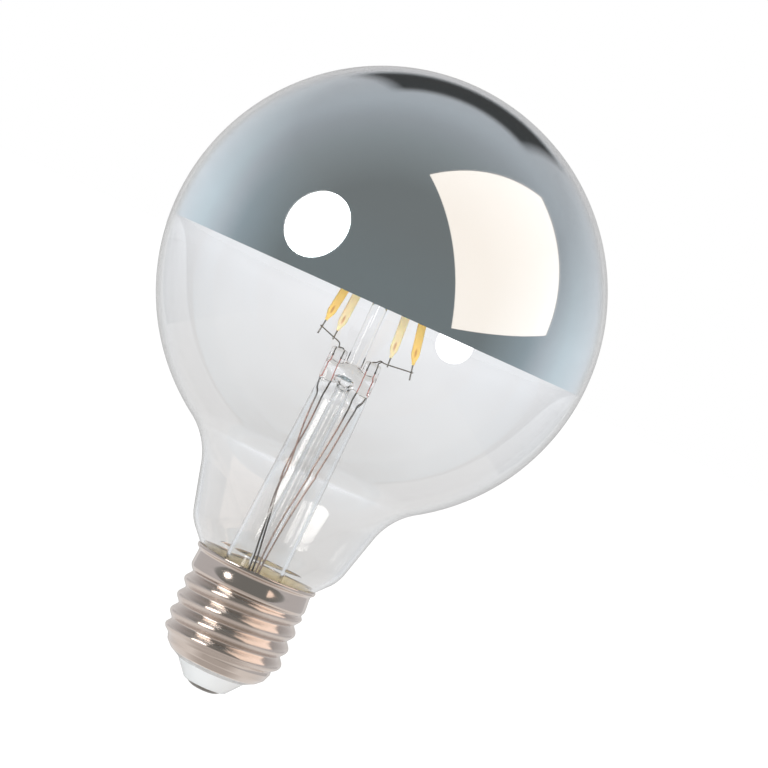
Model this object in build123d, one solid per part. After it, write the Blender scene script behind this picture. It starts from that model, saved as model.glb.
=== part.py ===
from build123d import *

import os
from math import cos, radians, sin, sqrt, tan

# A globe lamp with LED filaments, mirrored inside its upper half, on a 27 mm screw cap.
# Millimetres. The origin is the tip of the centre contact, +Z points to the crown of the globe,
# +X runs across the filament mount and -Y faces the front pair of filaments.

# Bulb glass
OVERALL_LENGTH = 139.5
GLOBE_DIAMETER = 95.0
GLASS_WALL = 0.8
NECK_TAPER = 14.9
NECK_BLEND_SHARE = 0.84
SHOULDER_RISE = 4.1
SHOULDER_SLOPE = 42.0
SHOULDER_BLEND_SHARE = 0.5
NECK_END_RADIUS = 11.4
NECK_END_BLEND = 2.0
NECK_END_DEPTH = 9.4

# Mirror film. The real film is under a micrometre, and is drawn thick enough to be a solid.
MIRROR_DROP = 2.75
MIRROR_GAP = 0.1
MIRROR_FILM = 0.2

# Cap shell, formed from nickel-plated brass sheet
CAP_HEIGHT = 28.4
SHEET = 0.3
RIM_GAP = 0.05
LIP_RADIUS = 13.6
LIP_HEIGHT = 0.6
LIP_TAPER = 0.7
COLLAR_RADIUS = 13.0
COLLAR_HEIGHT = 5.0
COLLAR_STEP = 0.3
THREAD_CREST_RADIUS = 13.2
THREAD_ROOT_RADIUS = 12.15
THREAD_PITCH = 3.629
THREAD_TURNS = 4.0
THREAD_START_ANGLE = 180.0
GROOVE_FLOOR = 0.9
GROOVE_SLOPE = 40.5
GROOVE_OVERCUT = 0.3
FLOOR_HOLE_RADIUS = 7.7
FLOOR_HOLE_HEIGHT = 4.6
FLOOR_RISE = 4.2

# Cap insulator and centre contact
INSULATOR_TIP_RADIUS = 4.7
INSULATOR_EDGE = 0.5
INSULATOR_FLANGE_RADIUS = 9.2
CONTACT_FLAT_RADIUS = 1.5
CONTACT_RADIUS = 4.1
CONTACT_HEIGHT = 1.0
CONTACT_SHANK_RADIUS = 1.4
CONTACT_RIVET_RADIUS = 2.1
CONTACT_RIVET_HEIGHT = 0.5

# Cement that holds the neck in the collar
CEMENT_DEPTH = 3.4

# Glass stem, sealed a little off the lamp's axis
STEM_OFFSET = 0.9
STEM_RADIUS = 5.9
STEM_WALL = 0.7
STEM_HEIGHT = 52.0
FLARE_LAND = 0.8
FLARE_HEIGHT = 8.5
PRESS_SHOULDER = 4.5
PRESS_CEILING = 0.5
PRESS_WIDTH = 11.0
PRESS_THICKNESS = 4.4
PRESS_EDGE = 1.6
PRESS_HEIGHT = 3.9
SLIT_WIDTH = 10.4
SLIT_THICKNESS = 1.6
EAR_MARGIN = 0.6
EAR_THICKNESS = 3.2
EAR_HEIGHT = 2.8
EAR_EDGE = 0.6
EXHAUST_RADIUS = 1.6
EXHAUST_WALL = 0.5
EXHAUST_END_RISE = 2.5
ROD_RADIUS = 1.7
ROD_FOOT_RADIUS = 2.15
ROD_FOOT_HEIGHT = 2.4
BUTTON_RADIUS = 2.8
BUTTON_HEIGHT = 4.0
BUTTON_BAND = 1.6

# Lead wires
LEAD_DIAMETER = 0.46
LEG_INNER = 3.0
LEG_OUTER = 4.85
SEAL_HEIGHT = 5.5
BEND_RADIUS = 0.8
KNEE_RISE = 0.45
BAR_TURN = 5.6
BAR_FORWARD = 1.6
LEFT_BAR_REACH = 9.8
LEFT_BAR_RISE = 2.3
RIGHT_BAR_REACH = 12.1
RIGHT_BAR_RISE = 1.1
LEAD_DROP = 2.5
LEAD_BEND_RADIUS = 8.0
LEAD_BUNDLE_RISE = 10.0
LEAD_BUNDLE_X = -2.35
LEAD_BUNDLE_Y = -3.9
LEAD_BUNDLE_STEP = 0.72

# Filaments and the two wires that join their tops
FILAMENT_LENGTH = 38.0
FILAMENT_WIDTH = 2.0
FILAMENT_THICKNESS = 1.1
FILAMENT_EDGE = 0.35
FILAMENT_END = 0.3
TAB_WIDTH = 0.6
TAB_THICKNESS = 0.3
TAB_LENGTH = 1.6
FRONT_TAIL = 1.8
BACK_TAIL = 0.6
WELD_SINK = 0.06
BRIDGE_Y = 2.2
BRIDGE_OVERHANG = 0.6
LEFT_FRONT_WELD = 9.4
LEFT_BACK_WELD = 6.2
RIGHT_BACK_WELD = 6.6
RIGHT_FRONT_WELD = 11.7
LEFT_FRONT_TOP = -3.6
LEFT_BACK_TOP = -3.0
RIGHT_BACK_TOP = 3.75
RIGHT_FRONT_TOP = 3.2

# Driver in the cap
BOARD_CLEARANCE = 0.2
BOARD_THICKNESS = 1.0
BOARD_RISE = 3.9
PART_GAP = 0.05
CAPACITOR_RADIUS = 3.15
CAPACITOR_LENGTH = 9.0
CAPACITOR_EDGE = 0.5
CAPACITOR_Y = 4.6
RECTIFIER_LENGTH = 4.7
RECTIFIER_WIDTH = 4.0
RECTIFIER_HEIGHT = 2.4
RECTIFIER_X = 5.6
RECTIFIER_Y = -3.6
CHIP_LENGTH = 5.0
CHIP_WIDTH = 4.0
CHIP_HEIGHT = 1.5
CHIP_X = -6.4
CHIP_Y = -1.6
PACKAGE_EDGE = 0.3
RESISTOR_RADIUS = 1.1
RESISTOR_LENGTH = 6.0
RESISTOR_EDGE = 0.4
RESISTOR_Y = 4.2
HOOKUP_DIAMETER = 0.6
RESISTOR_LEAD_REACH = 1.8
CONTACT_LEAD_X = 0.9
SHELL_LEAD_INSET = 1.4
SHELL_LEAD_RISE = 3.0

# Heights up the lamp
globe_radius = GLOBE_DIAMETER / 2
globe_z = OVERALL_LENGTH - globe_radius
mirror_z = globe_z - MIRROR_DROP
shoulder_z = CAP_HEIGHT + SHOULDER_RISE
seal_z = CAP_HEIGHT - NECK_END_DEPTH
collar_z = CAP_HEIGHT - COLLAR_HEIGHT
lip_z = CAP_HEIGHT - LIP_HEIGHT
collar_top_z = lip_z - LIP_TAPER
thread_foot_z = FLOOR_HOLE_HEIGHT + FLOOR_RISE
press_z = seal_z + STEM_HEIGHT
tube_top_z = press_z - PRESS_SHOULDER
ceiling_z = press_z - PRESS_CEILING
press_top_z = press_z + PRESS_HEIGHT
ear_top_z = press_top_z + EAR_HEIGHT
weld_z = ceiling_z + SEAL_HEIGHT
knee_z = ear_top_z + KNEE_RISE
bridge_z = knee_z + LEFT_BAR_RISE + FILAMENT_LENGTH + 2 * TAB_LENGTH

# The neck fits the lip of the cap, and the stem's rim fits the end of the neck.
rim_radius = LIP_RADIUS - SHEET - RIM_GAP
shoulder_spread = tan(radians(SHOULDER_SLOPE))
shoulder_radius = rim_radius + SHOULDER_RISE * shoulder_spread
flare_radius = NECK_END_RADIUS - GLASS_WALL

# The floor of the shell is a cone. Its inner face lies one sheet inside its outer one.
bore_radius = THREAD_ROOT_RADIUS - SHEET
floor_spread = (THREAD_CREST_RADIUS - FLOOR_HOLE_RADIUS) / FLOOR_RISE
floor_lift = SHEET * sqrt(1 + floor_spread**2) / floor_spread
flange_z = FLOOR_HOLE_HEIGHT + (INSULATOR_FLANGE_RADIUS - FLOOR_HOLE_RADIUS) / floor_spread + floor_lift
rivet_z = flange_z + CONTACT_RIVET_HEIGHT
board_z = rivet_z + BOARD_RISE
board_top_z = board_z + BOARD_THICKNESS
resistor_z = board_z - RESISTOR_RADIUS - PART_GAP

# Offset of a tab's middle from the wire that it is welded to
weld_offset = (LEAD_DIAMETER + TAB_THICKNESS) / 2 - WELD_SINK

# The stem and all that it carries are drawn about the stem's own axis and then set off centre.
on_stem = Pos(STEM_OFFSET, 0, 0)


def spin(section):
    """Turn a half section, drawn as radius and height, about the axis."""
    return revolve(Plane.XZ * section, Axis.Z)


def corner(shape, point):
    return shape.vertices().sort_by_distance(Vector(*point))[0]


def round_wire(*points, radius=BEND_RADIUS, diameter=LEAD_DIAMETER):
    """Round wire through the points, with every corner bent to the radius."""
    path = FilletPolyline(*points, radius=radius) if len(points) > 2 else Line(*points)
    return sweep(Plane(path @ 0, z_dir=path % 0) * Circle(diameter / 2), path=path)


def bulb_outline():
    """Outside of the bulb as one open half outline, from the crown to the end of the neck.

    The blends at both ends of the neck's cone have radii that are shares of its length.
    """
    taper = radians(NECK_TAPER)
    crown = (0, OVERALL_LENGTH)
    shoulder = (shoulder_radius, shoulder_z)
    neck_end = (NECK_END_RADIUS, shoulder_z - (shoulder_radius - NECK_END_RADIUS) / shoulder_spread)
    globe = CenterArc((0, globe_z), globe_radius, -90, 180)
    neck_top = IntersectingLine(shoulder, (sin(taper), cos(taper)), globe) @ 1
    neck_length = (neck_top - Vector(*shoulder)).length
    dome = ThreePointArc(crown, (globe_radius, globe_z), neck_top)
    outline = dome + Polyline(neck_top, shoulder, neck_end, (NECK_END_RADIUS, seal_z))
    outline = fillet(corner(outline, neck_top), NECK_BLEND_SHARE * neck_length)
    outline = fillet(corner(outline, shoulder), SHOULDER_BLEND_SHARE * neck_length)
    return fillet(corner(outline, neck_end), NECK_END_BLEND)


def make_glass_bulb():
    """Blown globe and neck with an even wall, open at the end of the neck."""
    return spin(make_face(offset(bulb_outline(), GLASS_WALL, side=Side.RIGHT, closed=True)))


def make_mirror_film():
    """Film on the inside of the crown, down to a level edge just below the equator."""
    inside = globe_radius - GLASS_WALL - MIRROR_GAP
    ball = Pos(0, 0, globe_z) * (Sphere(inside) - Sphere(inside - MIRROR_FILM))
    return split(ball, Plane.XY.offset(mirror_z), keep=Keep.TOP)


def floor_height(radius):
    """Height of the outer face of the shell's conical floor."""
    return FLOOR_HOLE_HEIGHT + (radius - FLOOR_HOLE_RADIUS) / floor_spread


def thread_groove(floor_radius, floor_half, mouth_radius, mouth_half, start_z, turns):
    """Helical groove with a flat floor and sloping flanks."""
    helix = Edge.make_helix(THREAD_PITCH, turns * THREAD_PITCH, THREAD_ROOT_RADIUS)
    profile = make_face(
        Polyline(
            (floor_radius, -floor_half),
            (mouth_radius, -mouth_half),
            (mouth_radius, mouth_half),
            (floor_radius, floor_half),
            close=True,
        )
    )
    groove = Solid.sweep((Plane.XZ * profile).face(), helix, is_frenet=True)
    return Pos(0, 0, start_z) * Rot(0, 0, THREAD_START_ANGLE) * groove


def make_cap_shell():
    """Formed sheet cap: lip, plain collar, thread rolled through the wall and conical floor."""
    wall = make_face(
        Polyline(
            (FLOOR_HOLE_RADIUS, FLOOR_HOLE_HEIGHT),
            (THREAD_CREST_RADIUS, thread_foot_z),
            (THREAD_CREST_RADIUS, collar_z - COLLAR_STEP),
            (COLLAR_RADIUS, collar_z),
            (COLLAR_RADIUS, collar_top_z),
            (LIP_RADIUS, lip_z),
            (LIP_RADIUS, CAP_HEIGHT),
            (LIP_RADIUS - SHEET, CAP_HEIGHT),
            (LIP_RADIUS - SHEET, lip_z),
            (COLLAR_RADIUS - SHEET, collar_top_z),
            (COLLAR_RADIUS - SHEET, collar_z),
            (bore_radius, collar_z - COLLAR_STEP),
            (bore_radius, floor_height(bore_radius) + floor_lift),
            (FLOOR_HOLE_RADIUS, FLOOR_HOLE_HEIGHT + floor_lift),
            close=True,
        )
    )
    slope = tan(radians(GROOVE_SLOPE))
    depth = THREAD_CREST_RADIUS - THREAD_ROOT_RADIUS
    floor_half = GROOVE_FLOOR / 2
    overcut_half = GROOVE_OVERCUT * slope
    foot_z = collar_z - COLLAR_STEP - floor_half - depth * slope - THREAD_TURNS * THREAD_PITCH
    outer_groove = thread_groove(
        THREAD_ROOT_RADIUS,
        floor_half,
        THREAD_CREST_RADIUS + GROOVE_OVERCUT,
        floor_half + depth * slope + overcut_half,
        foot_z,
        THREAD_TURNS,
    )
    # The inner groove runs under the crests and leaves one sheet between itself and the outer groove.
    web = SHEET * sqrt(1 + slope**2)
    mouth_half = THREAD_PITCH / 2 - floor_half + SHEET * slope - web
    inner_groove = thread_groove(
        THREAD_CREST_RADIUS - SHEET,
        mouth_half - depth * slope,
        bore_radius - GROOVE_OVERCUT,
        mouth_half + overcut_half,
        foot_z + THREAD_PITCH / 2,
        THREAD_TURNS - 0.5,
    )
    return spin(wall) - outer_groove - inner_groove


def make_cap_insulator():
    """Moulded cone that fills the hole in the shell's floor, with a flange clamped inside."""
    section = make_face(
        Polyline(
            (CONTACT_SHANK_RADIUS, CONTACT_HEIGHT),
            (INSULATOR_TIP_RADIUS, CONTACT_HEIGHT),
            (FLOOR_HOLE_RADIUS, FLOOR_HOLE_HEIGHT),
            (FLOOR_HOLE_RADIUS, FLOOR_HOLE_HEIGHT + floor_lift),
            (INSULATOR_FLANGE_RADIUS, flange_z),
            (CONTACT_SHANK_RADIUS, flange_z),
            close=True,
        )
    )
    return spin(fillet(corner(section, (INSULATOR_TIP_RADIUS, CONTACT_HEIGHT)), INSULATOR_EDGE))


def make_centre_contact():
    """Rivet with a low domed head, flat at its tip, and its end set over the insulator."""
    tip = (CONTACT_FLAT_RADIUS, 0)
    rim = (CONTACT_RADIUS, CONTACT_HEIGHT)
    shank = Polyline(
        rim,
        (CONTACT_SHANK_RADIUS, CONTACT_HEIGHT),
        (CONTACT_SHANK_RADIUS, flange_z),
        (CONTACT_RIVET_RADIUS, flange_z),
        (CONTACT_SHANK_RADIUS, rivet_z),
        (0, rivet_z),
        (0, 0),
        tip,
    )
    return spin(make_face(TangentArc(tip, rim, tangent=(1, 0)) + shank))


def make_basing_cement():
    """Ring of cement between the neck and the collar."""
    outline = bulb_outline()
    neck = spin(make_face(outline + Polyline(outline @ 1, (0, seal_z), outline @ 0)))
    bed = extrude(Plane.XY.offset(collar_top_z) * Circle(COLLAR_RADIUS - SHEET), -CEMENT_DEPTH)
    return bed - neck


def flared_tube(radius, rim_radius):
    """Tube on the stem's axis that opens to a rim on the lamp's axis."""
    rim = Pos(-STEM_OFFSET, 0) * Circle(rim_radius)
    land_top = Plane.XY.offset(seal_z + FLARE_LAND)
    waist = Plane.XY.offset(seal_z + FLARE_HEIGHT)
    land = extrude(Plane.XY.offset(seal_z) * rim, FLARE_LAND)
    flare = loft([land_top * rim, waist * Circle(radius)])
    return land + flare + extrude(waist * Circle(radius), tube_top_z - seal_z - FLARE_HEIGHT)


def pressed_end(radius, flat, top_z):
    """Round tube that closes to a flat section."""
    return loft([Plane.XY.offset(tube_top_z) * Circle(radius), Plane.XY.offset(top_z) * flat])


def make_glass_stem(wires):
    """Flared tube pressed flat over its lead wires, with a glass ear round each pair of wires."""
    slab = RectangleRounded(PRESS_WIDTH, PRESS_THICKNESS, PRESS_EDGE)
    outside = flared_tube(STEM_RADIUS, flare_radius)
    outside += pressed_end(STEM_RADIUS, slab, press_z)
    outside += extrude(Plane.XY.offset(press_z) * slab, PRESS_HEIGHT)
    ear_width = LEG_OUTER - LEG_INNER + 2 * EAR_MARGIN
    for side in (-1, 1):
        foot = Pos(side * (LEG_INNER + LEG_OUTER) / 2, 0) * Rectangle(ear_width, EAR_THICKNESS)
        ear = extrude(Plane.XY.offset(press_top_z) * foot, EAR_HEIGHT)
        outside += fillet(ear.edges().filter_by(Axis.Z) + ear.edges().group_by(Axis.Z)[-1], EAR_EDGE)
    bore = STEM_RADIUS - STEM_WALL
    inside = flared_tube(bore, flare_radius - GLASS_WALL)
    inside += pressed_end(bore, Ellipse(SLIT_WIDTH / 2, SLIT_THICKNESS / 2), ceiling_z)
    inside += extrude(Plane.XY.offset(tube_top_z) * Circle(EXHAUST_RADIUS), ceiling_z - tube_top_z)
    stem = outside - inside
    for wire in wires:
        stem -= wire
    return stem


def make_exhaust_tube():
    """Pumping tube under the press, drawn off to a round closed end."""
    end_z = seal_z + EXHAUST_END_RISE
    side = Line((EXHAUST_RADIUS, ceiling_z), (EXHAUST_RADIUS, end_z + EXHAUST_RADIUS))
    tip = TangentArc(side @ 1, (0, end_z), tangent=(0, -1))
    return spin(make_face(offset(side + tip, EXHAUST_WALL, side=Side.RIGHT, closed=True)))


def make_support_rod(bridges):
    """Glass rod on the press, melted to a button round the two bridge wires."""
    section = make_face(
        Polyline(
            (0, press_top_z),
            (ROD_FOOT_RADIUS, press_top_z),
            (ROD_RADIUS, press_top_z + ROD_FOOT_HEIGHT),
            (ROD_RADIUS, bridge_z - BUTTON_HEIGHT / 2),
            (BUTTON_RADIUS, bridge_z - BUTTON_BAND / 2),
            (BUTTON_RADIUS, bridge_z + BUTTON_BAND / 2),
            (ROD_RADIUS, bridge_z + BUTTON_HEIGHT / 2),
            (0, bridge_z + BUTTON_HEIGHT / 2),
            close=True,
        )
    )
    rod = spin(section)
    for bridge in bridges:
        rod -= bridge
    return rod


def bar_place(side, reach):
    """Point on the axis of a lead bar at a distance from the stem's axis, measured across."""
    bar_reach, bar_rise = (LEFT_BAR_REACH, LEFT_BAR_RISE) if side < 0 else (RIGHT_BAR_REACH, RIGHT_BAR_RISE)
    forward = max(0, (reach - BAR_TURN) / (bar_reach - BAR_TURN)) * BAR_FORWARD
    rise = (reach - LEG_INNER) / (bar_reach - LEG_INNER) * bar_rise
    return Vector(side * reach, -forward, knee_z + rise)


def make_lead_bar(side):
    """Inner leg of a pair, bent outwards over the other leg and then forwards, to carry two filaments."""
    bar_reach = LEFT_BAR_REACH if side < 0 else RIGHT_BAR_REACH
    leg = (side * LEG_INNER, 0, weld_z)
    return round_wire(leg, bar_place(side, LEG_INNER), bar_place(side, BAR_TURN), bar_place(side, bar_reach))


def make_lead_post(side, bar):
    """Outer leg of a pair, cut off and welded under the bar."""
    top = bar_place(side, LEG_OUTER) - Vector(0, 0, LEAD_DIAMETER / 2 - WELD_SINK)
    return round_wire((side * LEG_OUTER, 0, weld_z), top) - bar


def make_outer_lead(leg_x, place):
    """Lead from the press down the stem to the board, in a loose bundle in front of the exhaust tube."""
    bundle_x = LEAD_BUNDLE_X + place * LEAD_BUNDLE_STEP
    return round_wire(
        (leg_x, 0, ceiling_z),
        (leg_x, 0, ceiling_z - LEAD_DROP),
        (bundle_x, LEAD_BUNDLE_Y, seal_z + LEAD_BUNDLE_RISE),
        (bundle_x, LEAD_BUNDLE_Y, board_top_z),
        radius=LEAD_BEND_RADIUS,
    )


def make_bridge(y, left_x, right_x):
    """Straight wire through the button that joins the tops of two filaments."""
    return round_wire((left_x - BRIDGE_OVERHANG, y, bridge_z), (right_x + BRIDGE_OVERHANG, y, bridge_z))


def make_filament(weld, top_x, bar, bridge_y, bridge):
    """Phosphor strip between two flat tabs, one welded to a lead bar and one to a bridge wire."""
    front = bridge_y < 0
    weld_side = Vector(0, weld_offset if front else -weld_offset, 0)
    tail = FRONT_TAIL if front else BACK_TAIL
    foot = weld + weld_side
    head = Vector(top_x, bridge_y, bridge_z) + weld_side
    axis = head - foot
    frame = Plane(foot, x_dir=Vector(0, 1, 0).cross(axis), z_dir=axis)
    section = RectangleRounded(FILAMENT_WIDTH, FILAMENT_THICKNESS, FILAMENT_EDGE)
    strip = extrude(Plane.XY.offset(TAB_LENGTH) * section, FILAMENT_LENGTH)
    ends = strip.edges().group_by(Axis.Z)
    strip = chamfer(ends[0] + ends[-1], FILAMENT_END)
    strip_top = TAB_LENGTH + FILAMENT_LENGTH
    tab = Rectangle(TAB_WIDTH, TAB_THICKNESS)
    lower = extrude(Plane.XY.offset(-tail) * tab, TAB_LENGTH + tail)
    upper = extrude(Plane.XY.offset(strip_top) * tab, axis.length + BACK_TAIL - strip_top)
    return frame * strip, frame * (lower + upper) - bar - bridge


def make_driver():
    """Board in the cap with its rectifier, regulator chip, capacitor and fuse resistor."""
    board = extrude(Plane.XY.offset(board_z) * Circle(bore_radius - BOARD_CLEARANCE), BOARD_THICKNESS)
    rectifier = Box(RECTIFIER_LENGTH, RECTIFIER_WIDTH, RECTIFIER_HEIGHT)
    chip = Box(CHIP_LENGTH, CHIP_WIDTH, CHIP_HEIGHT)
    rectifier = chamfer(rectifier.edges().group_by(Axis.Z)[-1], PACKAGE_EDGE)
    chip = chamfer(chip.edges().group_by(Axis.Z)[-1], PACKAGE_EDGE)
    can = Cylinder(CAPACITOR_RADIUS, CAPACITOR_LENGTH, rotation=(0, 90, 0))
    can = chamfer(can.edges().filter_by(GeomType.CIRCLE), CAPACITOR_EDGE)
    resistor = Cylinder(RESISTOR_RADIUS, RESISTOR_LENGTH, rotation=(0, 90, 0))
    resistor = chamfer(resistor.edges().filter_by(GeomType.CIRCLE), RESISTOR_EDGE)
    return {
        "driver_board": board,
        "bridge_rectifier": Pos(RECTIFIER_X, RECTIFIER_Y, board_top_z + RECTIFIER_HEIGHT / 2) * rectifier,
        "driver_chip": Pos(CHIP_X, CHIP_Y, board_top_z + CHIP_HEIGHT / 2) * chip,
        "smoothing_capacitor": Pos(0, CAPACITOR_Y, board_top_z + CAPACITOR_RADIUS + PART_GAP) * can,
        "fuse_resistor": Pos(0, RESISTOR_Y, resistor_z) * resistor,
    }


def make_hookup_wires():
    """Wires from the fuse resistor to the board and to the contact, and from the board to the shell."""
    end_x = RESISTOR_LENGTH / 2
    turn_x = end_x + RESISTOR_LEAD_REACH
    shell_x = bore_radius - SHELL_LEAD_INSET
    shell_z = board_top_z + SHELL_LEAD_RISE
    routes = {
        "board_lead": [
            (-end_x, RESISTOR_Y, resistor_z),
            (-turn_x, RESISTOR_Y, resistor_z),
            (-turn_x, RESISTOR_Y, board_z),
        ],
        "contact_lead": [
            (end_x, RESISTOR_Y, resistor_z),
            (turn_x, RESISTOR_Y, resistor_z),
            (turn_x, 0, resistor_z),
            (CONTACT_LEAD_X, 0, resistor_z),
            (CONTACT_LEAD_X, 0, rivet_z),
        ],
        "shell_lead": [
            (-shell_x, 0, board_top_z),
            (-shell_x, 0, shell_z),
            (PART_GAP - bore_radius, 0, shell_z),
        ],
    }
    return {name: round_wire(*route, diameter=HOOKUP_DIAMETER) for name, route in routes.items()}


def make_mount():
    """Stem, rod, wires and filaments, about the stem's own axis."""
    pieces = {}
    legs = {
        "left_outer": -LEG_OUTER,
        "left_inner": -LEG_INNER,
        "right_inner": LEG_INNER,
        "right_outer": LEG_OUTER,
    }
    for place, (name, leg_x) in enumerate(legs.items()):
        pieces["seal_wire_" + name] = round_wire((leg_x, 0, ceiling_z), (leg_x, 0, weld_z))
        pieces["outer_lead_" + name] = make_outer_lead(leg_x, place)
    for name, side in (("left", -1), ("right", 1)):
        bar = make_lead_bar(side)
        pieces["lead_bar_" + name] = bar
        pieces["lead_post_" + name] = make_lead_post(side, bar)
    pressed_in = [piece for name, piece in pieces.items() if not name.startswith("outer_lead")]

    front = make_bridge(-BRIDGE_Y, LEFT_FRONT_TOP, RIGHT_FRONT_TOP)
    back = make_bridge(BRIDGE_Y, LEFT_BACK_TOP, RIGHT_BACK_TOP)
    pieces["bridge_wire_front"] = front
    pieces["bridge_wire_back"] = back
    filaments = {
        "left_front": (-1, LEFT_FRONT_WELD, LEFT_FRONT_TOP, -BRIDGE_Y, front),
        "left_back": (-1, LEFT_BACK_WELD, LEFT_BACK_TOP, BRIDGE_Y, back),
        "right_back": (1, RIGHT_BACK_WELD, RIGHT_BACK_TOP, BRIDGE_Y, back),
        "right_front": (1, RIGHT_FRONT_WELD, RIGHT_FRONT_TOP, -BRIDGE_Y, front),
    }
    for name, (side, reach, top_x, bridge_y, bridge) in filaments.items():
        bar = pieces["lead_bar_left" if side < 0 else "lead_bar_right"]
        strip, tabs = make_filament(bar_place(side, reach), top_x, bar, bridge_y, bridge)
        pieces["filament_" + name] = strip
        pieces["filament_tabs_" + name] = tabs

    pieces["glass_stem"] = make_glass_stem(pressed_in)
    pieces["exhaust_tube"] = make_exhaust_tube()
    pieces["support_rod"] = make_support_rod([front, back])
    return {name: on_stem * piece for name, piece in pieces.items()}


lamp = {
    "glass_bulb": make_glass_bulb(),
    "mirror_film": make_mirror_film(),
    "cap_shell": make_cap_shell(),
    "cap_insulator": make_cap_insulator(),
    "centre_contact": make_centre_contact(),
    "basing_cement": make_basing_cement(),
    **make_driver(),
    **make_hookup_wires(),
    **make_mount(),
}

os.makedirs("parts", exist_ok=True)
for name, piece in lamp.items():
    export_step(piece, f"parts/{name}.step")
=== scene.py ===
from math import acos, atan2, cos, pi, radians, sin, sqrt, tan

import bmesh
import bpy
import numpy as np
from mathutils import Matrix, Vector


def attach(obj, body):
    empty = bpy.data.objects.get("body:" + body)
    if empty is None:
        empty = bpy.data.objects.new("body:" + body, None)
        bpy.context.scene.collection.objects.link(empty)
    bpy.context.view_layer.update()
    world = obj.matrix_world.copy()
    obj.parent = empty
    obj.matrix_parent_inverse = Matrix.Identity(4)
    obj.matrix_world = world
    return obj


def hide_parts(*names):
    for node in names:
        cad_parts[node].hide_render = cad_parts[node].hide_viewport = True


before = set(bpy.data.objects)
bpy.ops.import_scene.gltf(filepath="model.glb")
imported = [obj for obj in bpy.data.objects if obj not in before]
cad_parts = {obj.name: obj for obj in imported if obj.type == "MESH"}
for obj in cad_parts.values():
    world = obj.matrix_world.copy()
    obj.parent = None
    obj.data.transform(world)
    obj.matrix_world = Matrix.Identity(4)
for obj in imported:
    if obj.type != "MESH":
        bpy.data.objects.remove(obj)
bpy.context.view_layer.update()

scene = bpy.context.scene
scene.view_settings.view_transform = "Standard"

# Glass bulb: a globe with a short neck, blown in one from soda-lime glass 0.8 mm thick.
# The neck tapers to the cap, turns in under the cap's lip and is fused to the stem inside the collar.
MM = 0.001
GLOBE_RADIUS = 47.5
GLOBE_Z = 92.0
GLASS_WALL = 0.8
RIM_RADIUS = 13.25
RIM_Z = 28.4
SHOULDER_Z = 32.5
SHOULDER_SLOPE = radians(42.0)
SHOULDER_BLEND = 0.5
NECK_TAPER = radians(14.9)
NECK_BLEND = 0.84
NECK_END_RADIUS = 11.4
NECK_END_Z = 19.0
TURN_IN_RADIUS = 2.0
GLASS_SEGMENTS = 256
GLOBE_STEPS = 84
NECK_STEPS = 18
SHARP_EDGE = radians(38)


def linear(hex_colour):
    """sRGB hex colour as the linear colour that a shader socket takes."""
    channels = [int(hex_colour[i:i + 2], 16) / 255 for i in (1, 3, 5)]
    return [c / 12.92 if c <= 0.04045 else ((c + 0.055) / 1.055) ** 2.4 for c in channels] + [1.0]


def feed(node, inputs):
    """Gives a node's inputs a value, an output or a node, which stands for its first output in use."""
    for key, value in inputs.items():
        if isinstance(value, bpy.types.Node):
            value = next(output for output in value.outputs if output.enabled)
        if isinstance(value, bpy.types.NodeSocket):
            node.id_data.links.new(value, node.inputs[key])
        else:
            node.inputs[key].default_value = value


def add(tree, kind, inputs={}, operation=None, **settings):
    """Adds a node with its inputs and settings. Its kind is named without ShaderNode or GeometryNode."""
    prefix = next(p for p in ("ShaderNode", "GeometryNode", "") if hasattr(bpy.types, p + kind))
    node = tree.nodes.new(prefix + kind)
    if operation:
        node.operation = operation
    for key, value in settings.items():
        setattr(node, key, value)
    feed(node, inputs)
    return node


def new_material(name, **values):
    """Material with a Principled shader, whose inputs are named with underscores for spaces."""
    material = bpy.data.materials.new(name)
    material.use_nodes = True
    shader = material.node_tree.nodes["Principled BSDF"]
    feed(shader, {key.replace("_", " "): value for key, value in values.items()})
    return material, shader


def wavy_surface(shader, length, detail, strength, depth, stretch=1.0):
    """Bump of waves in the object's own coordinates. Their length and depth are in millimetres."""
    tree = shader.id_data
    coords = add(tree, "TexCoord").outputs["Object"]
    drawn = add(tree, "Mapping", {"Vector": coords, "Scale": (1.0, 1.0, stretch)})
    waves = add(tree, "TexNoise", {"Vector": drawn, "Scale": 1 / (length * MM), "Detail": detail})
    bump = add(tree, "Bump", {"Height": waves, "Strength": strength, "Distance": depth * MM})
    feed(shader, {"Normal": bump})


def place(name, mesh, material, slot, *nodes):
    """Puts a finished mesh on the lamp's one body, in the place of the CAD nodes."""
    mesh.materials.clear()
    mesh.materials.append(material)
    mesh.shade_smooth()
    mesh.set_sharp_from_angle(angle=SHARP_EDGE)
    obj = bpy.data.objects.new(name, mesh)
    scene.collection.objects.link(obj)
    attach(obj, "root")
    if nodes:
        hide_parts(*nodes)
    return obj


def arc(centre, radius, start, end, steps):
    """Points on an arc, as radius and height, with its angles in radians."""
    angles = np.linspace(start, end, steps + 1)
    return [(centre[0] + radius * cos(a), centre[1] + radius * sin(a)) for a in angles]


def rounded(*corners, steps=10):
    """Line through corners of (radius, height, blend), with each corner rounded to its blend."""
    points = []
    for i, (r, z, blend) in enumerate(corners):
        here = Vector((r, z))
        if blend == 0 or i in (0, len(corners) - 1):
            points.append((r, z))
            continue
        back = (Vector(corners[i - 1][:2]) - here).normalized()
        ahead = (Vector(corners[i + 1][:2]) - here).normalized()
        half = acos(max(-1, min(1, back.dot(ahead)))) / 2
        centre = here + (back + ahead).normalized() * blend / sin(half)
        first = here + back * blend / tan(half) - centre
        last = here + ahead * blend / tan(half) - centre
        start = atan2(first.y, first.x)
        turn = (atan2(last.y, last.x) - start + pi) % (2 * pi) - pi
        points += arc(centre, blend, start, start + turn, steps)
    return points


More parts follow.
